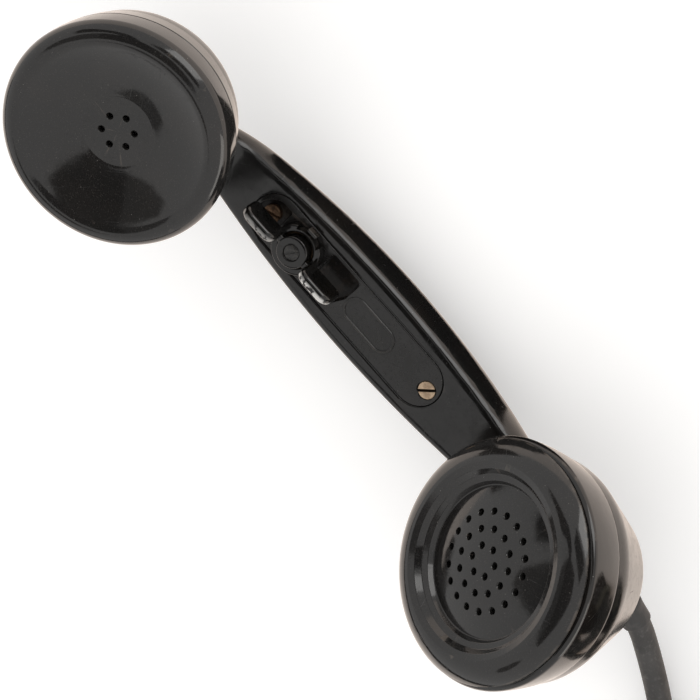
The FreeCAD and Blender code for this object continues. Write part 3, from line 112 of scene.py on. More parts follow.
def hung(place, ways):
    """Corners of a card that hangs in the given ways from a place on the handset."""
    distance = 1.2
    return [Vector(place) + Vector(way).normalized() * distance for way in ways]


ear_place = (-0.078, 0, 0.055)
grip_place = (0, 0, 0.05)
mouth_place = (0.072, 0, 0.058)
card_level = 0.0006
dark_card("card_overhead", hung(ear_place, [
    (0.18, -0.36, 0.91), (0.31, 0.10, 0.94), (0.31, 0.31, 0.90), (0.06, 0.46, 0.88), (-0.16, 0.42, 0.89),
    (-0.32, 0.34, 0.89), (-0.46, 0.12, 0.88), (-0.16, -0.22, 0.96), (0.02, -0.38, 0.92)]))
dark_card("card_overhead_pale", hung(ear_place, [
    (-0.46, 0.12, 0.88), (-0.55, -0.11, 0.83), (-0.58, -0.28, 0.76), (-0.50, -0.40, 0.76),
    (-0.10, -0.38, 0.91), (0.02, -0.38, 0.92), (-0.16, -0.22, 0.96)]), 0.15)
dark_card("card_high", hung(ear_place, [
    (0.20, -0.58, 0.79), (0.22, -0.62, 0.75), (0.21, -0.72, 0.64), (0.14, -0.77, 0.60), (0.06, -0.77, 0.62),
    (-0.02, -0.72, 0.68), (0.02, -0.62, 0.78), (0.12, -0.57, 0.81)]), 0.15)
dark_card("card_upper", hung(grip_place, [
    (-0.30, 0.55, 0.76), (0.32, 0.55, 0.76), (0.32, 0.78, 0.57), (-0.30, 0.78, 0.57)]))
dark_card("card_left", hung(mouth_place, [
    (-0.86, 0.04, 0.50), (-0.76, -0.02, 0.68), (-0.60, 0.22, 0.78), (-0.38, 0.28, 0.88), (-0.40, 0.42, 0.82),
    (-0.58, 0.46, 0.68), (-0.74, 0.30, 0.60), (-0.88, 0.14, 0.44)]))
dark_card("card_on_table", [(-0.052, 0.011, card_level), (0.046, 0.011, card_level),
                            (0.060, 0.075, card_level), (-0.066, 0.075, card_level)])
dark_card("card_by_cord", [(0.156, -0.004, card_level), (0.300, -0.010, card_level),
                           (0.300, 0.080, card_level), (0.156, 0.060, card_level)])
dark_card("card_skirting", hung((0, 0, 0.03), [
    (-0.75, -0.66, 0.06), (0.75, -0.66, 0.06), (0.75, -0.66, -0.03), (-0.75, -0.66, -0.03)]))

world = bpy.data.worlds.new("room")
scene.world = world
world.use_nodes = True
room_light = world.node_tree.nodes["Background"]
room_light.inputs["Color"].default_value = (1.0, 0.985, 0.97, 1.0)
room_light.inputs["Strength"].default_value = 0.95

table_half = 3.0
table_mesh = bpy.data.meshes.new("table")
table_mesh.from_pydata([(-table_half, -table_half, 0), (table_half, -table_half, 0),
                        (table_half, table_half, 0), (-table_half, table_half, 0)], [], [(0, 1, 2, 3)])
table_top = placed("table", table_mesh)
table_paint = bpy.data.materials.new("table_paint")
table_paint.use_nodes = True
table_nodes = table_paint.node_tree.nodes
table_shader = table_nodes["Principled BSDF"]
table_shader.inputs["Base Color"].default_value = (0.93, 0.93, 0.93, 1.0)
table_shader.inputs["Roughness"].default_value = 0.9
table_links = table_paint.node_tree.links
table_rays = table_nodes.new("ShaderNodeLightPath")
table_light = table_shader.outputs["BSDF"]
# the table looks whiter to the camera, and brighter and warmer in the polish, than the lamps make it
for ray, tint, strength in (("Is Camera Ray", (1.0, 1.0, 1.0, 1.0), 0.22),
                            ("Is Glossy Ray", (1.0, 0.74, 0.56, 1.0), 0.6)):
    share = table_nodes.new("ShaderNodeMath")
    share.operation = "MULTIPLY"
    share.inputs[1].default_value = strength
    glow = table_nodes.new("ShaderNodeEmission")
    glow.inputs["Color"].default_value = tint
    total = table_nodes.new("ShaderNodeAddShader")
    table_links.new(table_rays.outputs[ray], share.inputs[0])
    table_links.new(share.outputs[0], glow.inputs["Strength"])
    table_links.new(table_light, total.inputs[0])
    table_links.new(glow.outputs["Emission"], total.inputs[1])
    table_light = total.outputs["Shader"]
table_links.new(table_light, table_nodes["Material Output"].inputs["Surface"])
table_mesh.materials.append(table_paint)

# ---- Cord --------------------------------------------------------------------------------------------
# A limp two-core cord with a dull grey rubber cover. It leaves the back of the transmitter bowl, comes
# down to the table and is wound for storage in two flat layers, in at the bottom and out on top.


class Recipe:
    """A Principled material that is built up node by node, in object coordinates."""

    def __init__(self, name, colour, roughness, metallic=0.0):
        self.material = bpy.data.materials.new(name)
        self.material.use_nodes = True
        self.nodes = self.material.node_tree.nodes
        self.links = self.material.node_tree.links
        self.shader = self.nodes["Principled BSDF"]
        self.shader.inputs["Base Color"].default_value = (*colour, 1.0)
        self.shader.inputs["Roughness"].default_value = roughness
        self.shader.inputs["Metallic"].default_value = metallic
        self.place = self.nodes.new("ShaderNodeTexCoord").outputs["Object"]
        self.height = None

    def stretched(self, stretch, turn=(0, 0, 0)):
        """Object coordinates turned and then drawn out along each axis."""
        mapping = self.nodes.new("ShaderNodeMapping")
        mapping.vector_type = "TEXTURE"
        mapping.inputs["Rotation"].default_value = [math.radians(angle) for angle in turn]
        mapping.inputs["Scale"].default_value = stretch
        self.links.new(self.place, mapping.inputs["Vector"])
        return mapping.outputs["Vector"]

    def noise(self, grain, detail=3.0, place=None, rough=0.5):
        """Noise with grains of a size in metres."""
        node = self.nodes.new("ShaderNodeTexNoise")
        node.inputs["Scale"].default_value = 1.0 / grain
        node.inputs["Detail"].default_value = detail
        node.inputs["Roughness"].default_value = rough
        self.links.new(place or self.place, node.inputs["Vector"])
        return node.outputs["Fac"]

    def specks(self, spacing, reach):
        """1 at scattered points a spacing apart, falling to 0 at a reach from each."""
        node = self.nodes.new("ShaderNodeTexVoronoi")
        node.inputs["Scale"].default_value = 1.0 / spacing
        self.links.new(self.place, node.inputs["Vector"])
        return self.between(node.outputs["Distance"], reach / spacing, 0.0)

    def edges(self, low, high):
        """1 on outer edges, from how far the surface points outward."""
        node = self.nodes.new("ShaderNodeNewGeometry")
        return self.between(node.outputs["Pointiness"], low, high)

    def between(self, value, start, end, low=0.0, high=1.0):
        """A value carried from one range to another, and held inside it."""
        node = self.nodes.new("ShaderNodeMapRange")
        node.inputs["From Min"].default_value = start
        node.inputs["From Max"].default_value = end
        node.inputs["To Min"].default_value = low
        node.inputs["To Max"].default_value = high
        self.links.new(value, node.inputs["Value"])
        return node.outputs["Result"]

    def maths(self, operation, first, second):
        """One step of arithmetic on two numbers or sockets."""
        node = self.nodes.new("ShaderNodeMath")
        node.operation = operation
        for socket, value in zip(node.inputs, (first, second)):
            if isinstance(value, (int, float)):
                socket.default_value = value
            else:
                self.links.new(value, socket)
        return node.outputs["Value"]

    def times(self, first, second):
        """The product of two numbers or sockets."""
        return self.maths("MULTIPLY", first, second)

    def colour_over(self, factor, colour):
        """Lays a colour over what the base colour has so far."""
        self._over("Base Color", factor, (*colour, 1.0), "RGBA")

    def clouds(self, colour, grain, detail, start, end, share):
        """Lays a colour over in clouds, where the noise rises from one value to another."""
        self.colour_over(self.between(self.noise(grain, detail), start, end, 0, share), colour)

    def roughness_over(self, factor, roughness):
        """Lays a roughness over what the surface has so far."""
        self._over("Roughness", factor, roughness, "FLOAT")

    def dulled(self, factor, shine):
        """Takes the surface's shine down, where 0.5 is the usual level."""
        self._over("Specular IOR Level", factor, shine, "FLOAT")

    def _over(self, name, factor, value, kind):
        """Mixes a value over what one of the shader's sockets has so far."""
        socket = self.shader.inputs[name]
        node = self.nodes.new("ShaderNodeMix")
        node.data_type = kind
        first, second = [place for place in node.inputs if place.type == socket.type][-2:]
        if socket.is_linked:
            self.links.new(socket.links[0].from_socket, first)
        else:
            first.default_value = socket.default_value
        second.default_value = value
        self.links.new(factor, node.inputs[0])
        result = [place for place in node.outputs if place.type == socket.type][-1]
        self.links.new(result, socket)

    def raised(self, value, height):
        """Adds a value to the surface's height, in metres."""
        lift = self.times(value, height)
        self.height = lift if self.height is None else self.maths("ADD", self.height, lift)

    def axes(self, place=None):
        """The X, Y and Z of a place or a direction."""
        node = self.nodes.new("ShaderNodeSeparateXYZ")
        self.links.new(place or self.place, node.inputs[0])
        return node.outputs

    def done(self):
        """The material, with its height turned into bumps."""
        if self.height is not None:
            bump = self.nodes.new("ShaderNodeBump")
            bump.inputs["Strength"].default_value = 1.0
            bump.inputs["Distance"].default_value = 1.0
            self.links.new(self.height, bump.inputs["Height"])
            self.links.new(bump.outputs["Normal"], self.shader.inputs["Normal"])
        return self.material


def show(name, mesh, finish, smooth=35.0):
    """An object at the origin that holds a mesh, shaded smooth but for edges sharper than an angle."""
    shown = placed(name, mesh)
    mesh.materials.clear()
    mesh.materials.append(finish)
    mesh.shade_smooth()
    mesh.set_sharp_from_angle(angle=math.radians(smooth))
    # large faces lead the shading, so that a small rounded edge doesn't bend the light beside it
    weighted = shown.modifiers.new("shading", "WEIGHTED_NORMAL")
    weighted.keep_sharp = True
    weighted.weight = 100
    return shown


cord_radius = 0.0035
plug_level = 0.02705
lead_route = [(0.08355, 0, 0.02473), (0.106, 0, 0.0128), (0.1265, -0.014, 0.0063),
              (0.1447, -0.0279, 0.0035), (0.1706, -0.0359, 0.0035), (0.1976, -0.0342, 0.0035)]
tail_route = [(0.1794, -0.0313, 0.0105), (0.1948, -0.0329, 0.013), (0.2086, -0.0268, 0.020),
              (0.2179, -0.0139, plug_level), (0.2195, 0.0033, plug_level)]
coil_centre = Vector((0.192, 0.012, 0))
coil_outer = 0.0443
coil_inner = 0.0277
coil_start = 294
turn_in = 855
climb = 60
turn_out = 855
route_step = 30
# a spline of this kind runs inside its control points by this share of the radius
cut_inside = math.cos(math.radians(route_step / 2))
coil_route = []
for angle in range(route_step // 2, turn_in + climb + turn_out, route_step):
    if angle < turn_in:
        share = 1 - angle / turn_in
        level = cord_radius
    elif angle < turn_in + climb:
        share = 0
        level = cord_radius + 2 * cord_radius * (angle - turn_in) / climb
    else:
        share = (angle - turn_in - climb) / turn_out
        level = 3 * cord_radius
    reach = (coil_inner + (coil_outer - coil_inner) * share) / cut_inside
    way = math.radians(coil_start + angle)
    coil_route.append((coil_centre.x + reach * math.cos(way), coil_centre.y + reach * math.sin(way), level))
cord_route = lead_route + coil_route + tail_route

cord_curve = bpy.data.curves.new("cord", "CURVE")
cord_curve.dimensions = "3D"
cord_spline = cord_curve.splines.new("NURBS")
cord_spline.points.add(len(cord_route) - 1)
for point, place in zip(cord_spline.points, cord_route):
    point.co = (*place, 1.0)
cord_spline.order_u = 3
cord_spline.use_endpoint_u = True
cord_spline.resolution_u = 10
cord_curve.bevel_depth = cord_radius
cord_curve.bevel_resolution = 6
cord_curve.use_fill_caps = True

cord_cover = Recipe("cord_cover", (0.040, 0.038, 0.037), 0.52)
cord_cover.clouds((0.075, 0.071, 0.068), 0.009, 3, 0.42, 0.7, 0.6)
cord_cover.clouds((0.11, 0.105, 0.10), 0.0012, 5, 0.55, 0.75, 0.5)
cord_cover.roughness_over(cord_cover.between(cord_cover.noise(0.004), 0.35, 0.7), 0.7)
cord_cover.raised(cord_cover.noise(0.0009, 4), 0.00012)
cord_cover.raised(cord_cover.noise(0.006), 0.0006)

cord = placed("cord_flex", cord_curve)
cord_curve.materials.append(cord_cover.done())
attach(cord, "handset")
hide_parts("cord_lead", "cord_coil", "cord_tail")

bare_curve = cord_curve.copy()
bare_curve.bevel_depth = 0
bare_cord = bpy.data.objects.new("cord_line", bare_curve)
line_mesh = bpy.data.meshes.new_from_object(bare_cord)
cord_line = [vertex.co.copy() for vertex in line_mesh.vertices]
bpy.data.objects.remove(bare_cord)


def along_cord(distance):
    """The point at a distance along the cord's line, and the way the cord runs there."""
    for start, end in zip(cord_line, cord_line[1:]):
        run = (end - start).length
        if distance <= run:
            return start.lerp(end, distance / run), (end - start).normalized()
        distance -= run
    return cord_line[-1].copy(), (cord_line[-1] - cord_line[-2]).normalized()


# ---- Strain relief -----------------------------------------------------------------------------------
# A soft rubber sleeve, moulded with rings so that it bends. Its flange sits inside the bowl's wall, and
# its tail tapers down onto the cord.

gland_mouth = Vector((0.0915, 0, 0.0205))
gland_start = (gland_mouth - Vector(lead_route[0])).length
sleeve_profile = [(-5.5, 3.6), (-5.5, 7.4), (-3.5, 7.4), (-3.5, 5.0), (0.0, 5.0), (0.05, 6.2), (3.0, 6.2)]
ring_count = 6
ring_pitch = 2.5
for number in range(ring_count):
    base = 3.0 + number * ring_pitch
    outer = 6.1 - 0.29 * number
    sleeve_profile += [(base + 0.1, outer - 0.1), (base + 0.5, outer - 0.8), (base + 1.0, outer - 0.8),
                       (base + 1.4, outer - 0.15), (base + 1.7, outer), (base + 2.3, outer - 0.02)]
sleeve_profile += [(19.0, 4.35), (23.0, 4.2), (23.5, 4.0), (23.6, 3.6)]
sleeve_sides = 64
sleeve_points = []
for distance, reach in sleeve_profile:
    middle, heading = along_cord(gland_start + distance / 1000)
    across = heading.cross(Vector((0, 1, 0))).normalized()
    over = across.cross(heading).normalized()
    for side in range(sleeve_sides):
        angle = 2 * math.pi * side / sleeve_sides
        sleeve_points.append(middle + (across * math.cos(angle) + over * math.sin(angle)) * reach / 1000)


def tube_faces(rings, sides, closed_ends=True):
    """Faces between rings of points, each ring joined to the next."""
    faces = []
    for ring in range(rings - 1):
        for side in range(sides):
            after = (side + 1) % sides
            faces.append((ring * sides + side, ring * sides + after,
                          (ring + 1) * sides + after, (ring + 1) * sides + side))
    if closed_ends:
        faces.append(tuple(reversed(range(sides))))
        faces.append(tuple((rings - 1) * sides + side for side in range(sides)))
    return faces


def made(name, points, faces):
    """A mesh whose faces all look outward."""
    mesh = bpy.data.meshes.new(name)
    mesh.from_pydata([tuple(point) for point in points], [], faces)
    tidy = bmesh.new()
    tidy.from_mesh(mesh)
    bmesh.ops.recalc_face_normals(tidy, faces=tidy.faces)
    tidy.to_mesh(mesh)
    tidy.free()
    return mesh


sleeve_rubber = Recipe("sleeve_rubber", (0.030, 0.029, 0.029), 0.60)
sleeve_rubber.clouds((0.07, 0.067, 0.063), 0.003, 5, 0.5, 0.75, 0.6)
sleeve_rubber.raised(sleeve_rubber.noise(0.0008, 4), 0.00008)
sleeve = show("strain_relief", made("strain_relief", sleeve_points,
                                    tube_faces(len(sleeve_profile), sleeve_sides)), sleeve_rubber.done(), 50)
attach(sleeve, "handset")
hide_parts("cord_gland")

# ---- Handset moulding --------------------------------------------------------------------------------
# The grip and both bowls are one moulding of black phenolic, pressed hot in a steel mould and polished.
# Where the grip runs into a bowl the mould has a fillet. Years of handling have dulled it in places.

face_level = 22.3
grip_width = 27.0
crest_width = 2.6
crest_drop = 5.0
waist_arc = 360.0
waist_reach = 1.5
back_arc = 190.0
back_reach = 6.5
face_end = 52.0
root_rise = 14.0
ear_root = 31.0
mouth_root = 35.0
root_fillet = 7.0
heel = 12.0
toe = 10.2
grain = 0.9
neck_wall = 2.3
ear_screw_x = -37.175
mouth_screw_x = 26.9


def eased(corners, steps=5):
    """Outline points from corners (out, up), or (out, up, rounding) where the corner is rounded."""
    points = []
    for number, corner in enumerate(corners):
        here = Vector(corner[:2])
        if len(corner) == 2:
            points.append(tuple(here))
            continue
        before = (Vector(corners[number - 1][:2]) - here).normalized()
        after = (Vector(corners[(number + 1) % len(corners)][:2]) - here).normalized()
        half = before.angle(after) / 2
        middle = here + (before + after).normalized() * corner[2] / math.sin(half)
        start = here + before * corner[2] / math.tan(half) - middle
        end = here + after * corner[2] / math.tan(half) - middle
        begin = math.atan2(start.y, start.x)
        sweep = math.remainder(math.atan2(end.y, end.x) - begin, 2 * math.pi)
        for step in range(steps + 1):
            angle = begin + sweep * step / steps
            points.append((middle.x + corner[2] * math.cos(angle), middle.y + corner[2] * math.sin(angle)))
    return points


def bow(start, end, radius, side, steps=10):
    """An arc's start and the points inside it. side is 1 where it turns left on its way, else -1."""
    start, end = Vector(start), Vector(end)
    chord = end - start
    rise = math.sqrt(radius ** 2 - chord.length_squared / 4)
    middle = (start + end) / 2 + Vector((-chord.y, chord.x)).normalized() * rise * side
    begin = math.atan2(start.y - middle.y, start.x - middle.x)
    sweep = math.remainder(math.atan2(end.y - middle.y, end.x - middle.x) - begin, 2 * math.pi)
    return [(middle.x + radius * math.cos(begin + sweep * step / steps),
             middle.y + radius * math.sin(begin + sweep * step / steps)) for step in range(steps)]


def turned(name, profile, sides=192):
    """A solid of revolution about the Z axis, from a closed profile of (out, up) points."""
    points, rows, faces = [], [], []
    for out, up in profile:
        if abs(out) < 1e-6:
            rows.append([len(points)] * sides)
            points.append((0, 0, up))
            continue
        rows.append(list(range(len(points), len(points) + sides)))
        for side in range(sides):
            angle = 2 * math.pi * side / sides
            points.append((out * math.cos(angle), out * math.sin(angle), up))
    for row, after in zip(rows, rows[1:] + rows[:1]):
        for side in range(sides):
            corner = (side + 1) % sides
            face = [row[side], row[corner], after[corner], after[side]]
            face = [index for place, index in enumerate(face) if index not in face[:place]]
            if len(face) > 2:
                faces.append(face)
    return made(name, points, faces)


def slab(name, loop, low, high, round_low=0.0, round_high=0.0, above=0.0, steps=4):
    """A block with an anticlockwise loop as its edge. Its rims are rounded, or flare where less than 0."""
    count = len(loop)
    inward = []
    for number in range(count):
        before = (Vector(loop[number]) - Vector(loop[number - 1])).normalized()
        after = (Vector(loop[(number + 1) % count]) - Vector(loop[number])).normalized()
        along = (before + after).normalized()
        inward.append(Vector((-along.y, along.x)) / max(along.dot(after), 0.3))
    levels = []
    for step in range(steps + 1 if round_low else 1):
        angle = math.pi / 2 * step / steps
        levels.append((low + abs(round_low) * (1 - math.cos(angle)), round_low * (1 - math.sin(angle))))
    for step in range(steps + 1 if round_high else 1):
        angle = math.pi / 2 * (1 - step / steps) if round_high else 0
        levels.append((high - abs(round_high) * (1 - math.cos(angle)), round_high * (1 - math.sin(angle))))
    if above:
        levels.append((high + above, round_high))
    points = []
    for level, inset in levels:
        points += [(x + way.x * inset, y + way.y * inset, level) for (x, y), way in zip(loop, inward)]
    return made(name, points, tube_faces(len(levels), count))


def stadium(low, high, half):
    """An anticlockwise loop with round ends between two x."""
    steps = 24
    loop = []
    for middle, turn in ((high - half, -0.5), (low + half, 0.5)):
        for step in range(steps + 1):
            angle = math.pi * (step / steps + turn)
            loop.append((middle + half * math.cos(angle), half * math.sin(angle)))
    return loop


def joined(name, meshes):
    """Several meshes in one, not merged."""
    whole = bmesh.new()
    for mesh in meshes:
        whole.from_mesh(mesh)
    result = bpy.data.meshes.new(name)
    whole.to_mesh(result)
    whole.free()
    return result


def evaluated(item, name):
    """The mesh that an object has after its modifiers. The object goes."""
    bpy.context.view_layer.update()
    result = bpy.data.meshes.new_from_object(item.evaluated_get(bpy.context.evaluated_depsgraph_get()))
    result.name = name
    bpy.data.objects.remove(item)
    return result


def worked(mesh, steps):
    """A mesh after cuts and unions. Each step is an operation and the closed mesh that it takes."""
    block = placed("block", mesh)
    tools = []
    for operation, tool_mesh in steps:
        tool = placed("tool", tool_mesh)
        change = block.modifiers.new("work", "BOOLEAN")
        change.operation = operation
        change.solver = "MANIFOLD"
        change.object = tool
        tools.append(tool)
    result = evaluated(block, mesh.name)
    for tool in tools:
        bpy.data.objects.remove(tool)
    return result


def shifted(mesh, x, y=0, z=0):
    """Takes a mesh along by x, y and z."""
    mesh.transform(Matrix.Translation((x, y, z)))
    return mesh


def moved(mesh, seat):
    """Takes a mesh from millimetres in its seat to metres in the handset's frame."""
    mesh.transform(seat @ Matrix.Scale(0.001, 4))
    return mesh


def in_millimetres(seat):
    """A seat as it lies in the handset's frame, for meshes in millimetres."""
    return Matrix.Scale(1000, 4) @ seat @ Matrix.Scale(0.001, 4)


def seat_at(place, axis):
    """The frame of a group of pieces, from its place and the way its axis points."""
    up = Vector(axis).normalized()
    side = Vector((0, 1, 0))
    return Matrix.LocRotScale(Vector(place), Matrix((side.cross(up), side, up)).transposed(), None)


ear_seat = seat_at((-0.0784, 0, 0.0544), (math.sin(math.radians(9)), 0, math.cos(math.radians(9))))
mouth_lean = math.radians(31.7)
mouth_seat = seat_at((0.0716, 0, 0.0583), (-math.sin(mouth_lean), 0, math.cos(mouth_lean)))
face_seat = Matrix.Translation((0, 0, face_level / 1000))
gland_seat = seat_at(gland_mouth, gland_mouth - Vector(lead_route[0]))


def grip_section(x):
    """Half width, top, waist and bottom of the grip, in millimetres."""
    root = np.clip(np.maximum((-face_end - x) / ear_root, (x - face_end) / mouth_root), 0, 1)
    top = face_level + root_rise * root ** 2 * (3 - 2 * root)
    half = grip_width / 2 - waist_arc + np.sqrt(waist_arc ** 2 - (x - waist_reach) ** 2)
    bottom = back_arc - np.sqrt(back_arc ** 2 - (x - back_reach) ** 2)
    return half, top, top - np.minimum(crest_drop, 0.35 * (top - bottom)), bottom


def outside_grip(x, y, z):
    """About how far points lie outside the grip, in millimetres; less than 0 inside."""
    half, top, waist, bottom = grip_section(x)
    over = np.maximum(np.abs(y) - half + crest_width, 0) / crest_width
    rise = (z - waist) / (top - waist)
    crest = np.hypot(over, rise) + 1e-9
    crest_gap = (crest - 1) * crest / np.hypot(over / crest_width, rise / (top - waist)).clip(1e-9)
    wide = y / half
    deep = (z - waist) / (waist - bottom)
    belly = np.hypot(wide, deep) + 1e-9
    belly_gap = (belly - 1) * belly / np.hypot(wide / half, deep / (waist - bottom)).clip(1e-9)
    ends = np.maximum(-face_end - ear_root - x, x - face_end - mouth_root)
    return np.maximum(np.where(z > waist, crest_gap, belly_gap), ends)


def outside_bowl(points, seat, profile):
    """How far points lie outside a bowl: the furthest outside any side of its round profile."""
    local = np.array(seat.inverted())
    across, sideways, up = local[:3, :3] @ points.T + local[:3, 3:] * 1000
    out = np.hypot(across, sideways)
    gap = np.full_like(out, -1e9)
    for start, end in zip(profile, profile[1:]):
        run = Vector(end) - Vector(start)
        if run.length > 1e-6:
            run.normalize()
            gap = np.maximum(gap, (up - start[1]) * run.x - (out - start[0]) * run.y)
    return gap


bowl_profiles = {
    "ear": eased([(0, -11.0), (29.4, -11.0), (28.0, -18.5, heel), (15.0, -33.0, toe), (0, -33.0)], 40),
    "mouth": eased([(0, -15.5), (31.6, -15.5), (30.9, -21.0, heel), (17.2, -45.5, toe), (0, -45.5)], 40),
}
seats = {"ear": ear_seat, "mouth": mouth_seat}


def outside_moulding(points):
    """The grip's form and the bowls' forms, run into each other with fillets."""
    gap = outside_grip(*points.T)
    for side, profile in bowl_profiles.items():
        other = outside_bowl(points, seats[side], profile)
        near = np.maximum(root_fillet - np.abs(gap - other), 0) / root_fillet
        gap = np.minimum(gap, other) - near ** 2 * root_fillet / 4
    return gap


stations, arc_steps = 90, 24
bar_points = []
for x in np.linspace(-face_end - ear_root, face_end + mouth_root, stations):
    half, top, waist, bottom = (float(number) for number in grip_section(x))
    for step in range(arc_steps):
        turn = math.pi / 2 * step / arc_steps
        bar_points.append((x, half - crest_width * (1 - math.cos(turn)),
                           waist + (top - waist) * math.sin(turn)))
    for step in range(arc_steps):
        turn = math.pi / 2 * (1 - step / arc_steps)
        bar_points.append((x, crest_width * (1 - math.cos(turn)) - half,
                           waist + (top - waist) * math.sin(turn)))
    for step in range(2 * arc_steps):
        turn = math.pi * (1 + step / (2 * arc_steps))
        bar_points.append((x, half * math.cos(turn), waist + (waist - bottom) * math.sin(turn)))
bar = made("bar", bar_points, tube_faces(stations, 4 * arc_steps))
rough_bowls = []
for side, profile in bowl_profiles.items():
    rough_bowl = turned("bowl", profile, 96)
    rough_bowl.transform(in_millimetres(seats[side]))
    rough_bowls.append(("UNION", rough_bowl))
blank = placed("blank", worked(bar, rough_bowls))
regrain = blank.modifiers.new("grain", "REMESH")
regrain.mode = "VOXEL"
regrain.voxel_size = grain
moulding = evaluated(blank, "moulding")

skin = np.empty(len(moulding.vertices) * 3)
moulding.vertices.foreach_get("co", skin)
skin = skin.reshape(-1, 3)


def field_slope(points):
    """The way that the field grows at each point."""
    reach = 0.01
    steps = np.eye(3) * reach
    return np.stack([outside_moulding(points + step) - outside_moulding(points - step) for step in steps],
                    axis=1) / (2 * reach)


for _ in range(8):
    slope = field_slope(skin)
    pull = outside_moulding(skin) / np.maximum((slope ** 2).sum(axis=1), 0.1)
    skin -= slope * np.clip(pull, -1, 1)[:, None]
moulding.vertices.foreach_set("co", skin.ravel())
moulding.update()

bowl_cuts = []
for side, neck, neck_top, shoulder, cone, back, foot in (
        ("ear", 25.7, -4.4, -12.6, -17.5, -29.5, 12.0),
        ("mouth", 26.7, -8.4, -17.0, -25.0, -42.0, 14.2)):
    bore = neck - neck_wall
    around = turned("around", [(neck, shoulder), (33, shoulder), (33, shoulder + 30), (neck, shoulder + 30)])
    neck_tube = turned("neck", [(0, shoulder - neck_wall), (neck, shoulder - neck_wall),
                                (neck, neck_top - 0.3), (neck - 0.3, neck_top), (0, neck_top)])
    inside = turned("inside", eased([(0, 5), (bore + 0.4, 5), (bore + 0.4, neck_top), (bore, neck_top - 0.4),
                                     (bore, cone, 6.0), (foot, back, 6.0), (0, back)]))
    for operation, tool in (("DIFFERENCE", around), ("UNION", neck_tube), ("DIFFERENCE", inside)):
        tool.transform(in_millimetres(seats[side]))
        bowl_cuts.append((operation, tool))
# the boss inside the mouth bowl that the strain relief is let into
boss = turned("boss", [(0, -3.5), (9.5, -3.5), (9.5, 0), (0, 0)], 96)
gland_hole = turned("gland_hole", [(0, -11.5), (7.7, -11.5), (7.7, -3.5), (5.3, -3.5), (5.3, 0), (6.8, 0),
                                   (6.8, 1.2), (7.6, 2.0), (7.6, 20), (0, 20)], 96)
for operation, tool in (("UNION", boss), ("DIFFERENCE", gland_hole)):
    tool.transform(in_millimetres(gland_seat))
    bowl_cuts.append((operation, tool))
recess = slab("recess", stadium(-42.55, 30.75, 7.75), -4.0, 0.0, 0, -0.35, 20)
bay = slab("bay", stadium(-33, 20, 5.4), -14.0, -3.9)
pilots = [shifted(turned("pilot", [(0, low), (1.3, low), (1.3, 0), (0, 0)], 24), x)
          for x, low in ((mouth_screw_x, -6.75), (ear_screw_x, -7.35))]
for tool in [recess, bay] + pilots:
    bowl_cuts.append(("DIFFERENCE", shifted(tool, 0, 0, face_level)))


def duct_bore(start, end):
    """A round bore from one point to another."""
    radius = 1.9
    run = Vector(end) - Vector(start)
    drill = turned("duct", [(0, 0), (radius, 0), (radius, run.length), (0, run.length)], 32)
    drill.transform(Matrix.Translation(start) @ run.to_track_quat("Z", "Y").to_matrix().to_4x4())
    return drill


ear_bend = (-61, 0, 16.8)
ear_landing = ear_seat @ Vector((0.0115, 0, -0.0265)) * 1000
mouth_landing = mouth_seat @ Vector((-0.0126, 0, -0.0394)) * 1000
for start, end in (((-30, 0, 11.2), ear_bend), (ear_bend, ear_landing), ((17, 0, 11.2), mouth_landing)):
    bowl_cuts.append(("DIFFERENCE", duct_bore(start, end)))
moulding = worked(moulding, bowl_cuts)
moulding.transform(Matrix.Scale(0.001, 4))


def phenolic(name, colour, brown, roughness, haze, wear):
    """Polished moulded phenolic: nearly black with brown clouds, hazed by handling, dusty and scratched."""
    finish = Recipe(name, colour, roughness)
    cloud = finish.noise(0.014, 4)
    finish.colour_over(finish.between(cloud, 0.45, 0.75, 0, 0.55), brown)
    handled = finish.between(finish.noise(0.009, 5, rough=0.6), 0.42, 0.68)
    finish.roughness_over(finish.times(handled, haze), roughness + 0.22)
    fine = finish.between(finish.noise(0.0011, 6), 0.52, 0.72)
    finish.roughness_over(finish.times(fine, 0.35), roughness + 0.3)
    for turn, grain_width in (((0, 0, 24), 0.00028), ((10, 35, -51), 0.00022)):
        streak = finish.noise(1.0, 2, finish.stretched((grain_width, 0.016, 0.016), turn))
        mark = finish.between(streak, 0.715, 0.755)
        finish.roughness_over(finish.times(mark, 0.6), roughness + 0.35)
        finish.raised(mark, -0.000006)
    patchy = finish.between(finish.noise(0.003, 4), 0.4, 0.62)
    worn_edge = finish.times(finish.times(finish.edges(0.53, 0.60), patchy), wear)
    finish.colour_over(worn_edge, (0.075, 0.062, 0.052))
    finish.roughness_over(worn_edge, roughness + 0.25)
    dust = finish.times(finish.specks(0.0022, 0.00016), finish.between(cloud, 0.35, 0.6))
    dust = finish.times(dust, 0.5)
    finish.colour_over(dust, (0.42, 0.40, 0.37))
    finish.roughness_over(dust, 0.9)
    finish.raised(finish.noise(0.011, 2), 0.00009)
    finish.raised(finish.noise(0.0006, 4), 0.0000035)
    return finish


moulding_finish = phenolic("moulding_phenolic", (0.005, 0.0048, 0.0046), (0.012, 0.009, 0.007), 0.13,
                           0.5, 0.5)
handset = show("handset_moulding", moulding, moulding_finish.done(), 32)
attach(handset, "handset")
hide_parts("handset_body")

# ---- Ear cap -----------------------------------------------------------------------------------------
# The cap is a moulding of black phenolic that screws onto the bowl's neck. Its dished face has a flat
# disc in the middle with six drilled sound holes, and its rim is rolled to sit against the ear.


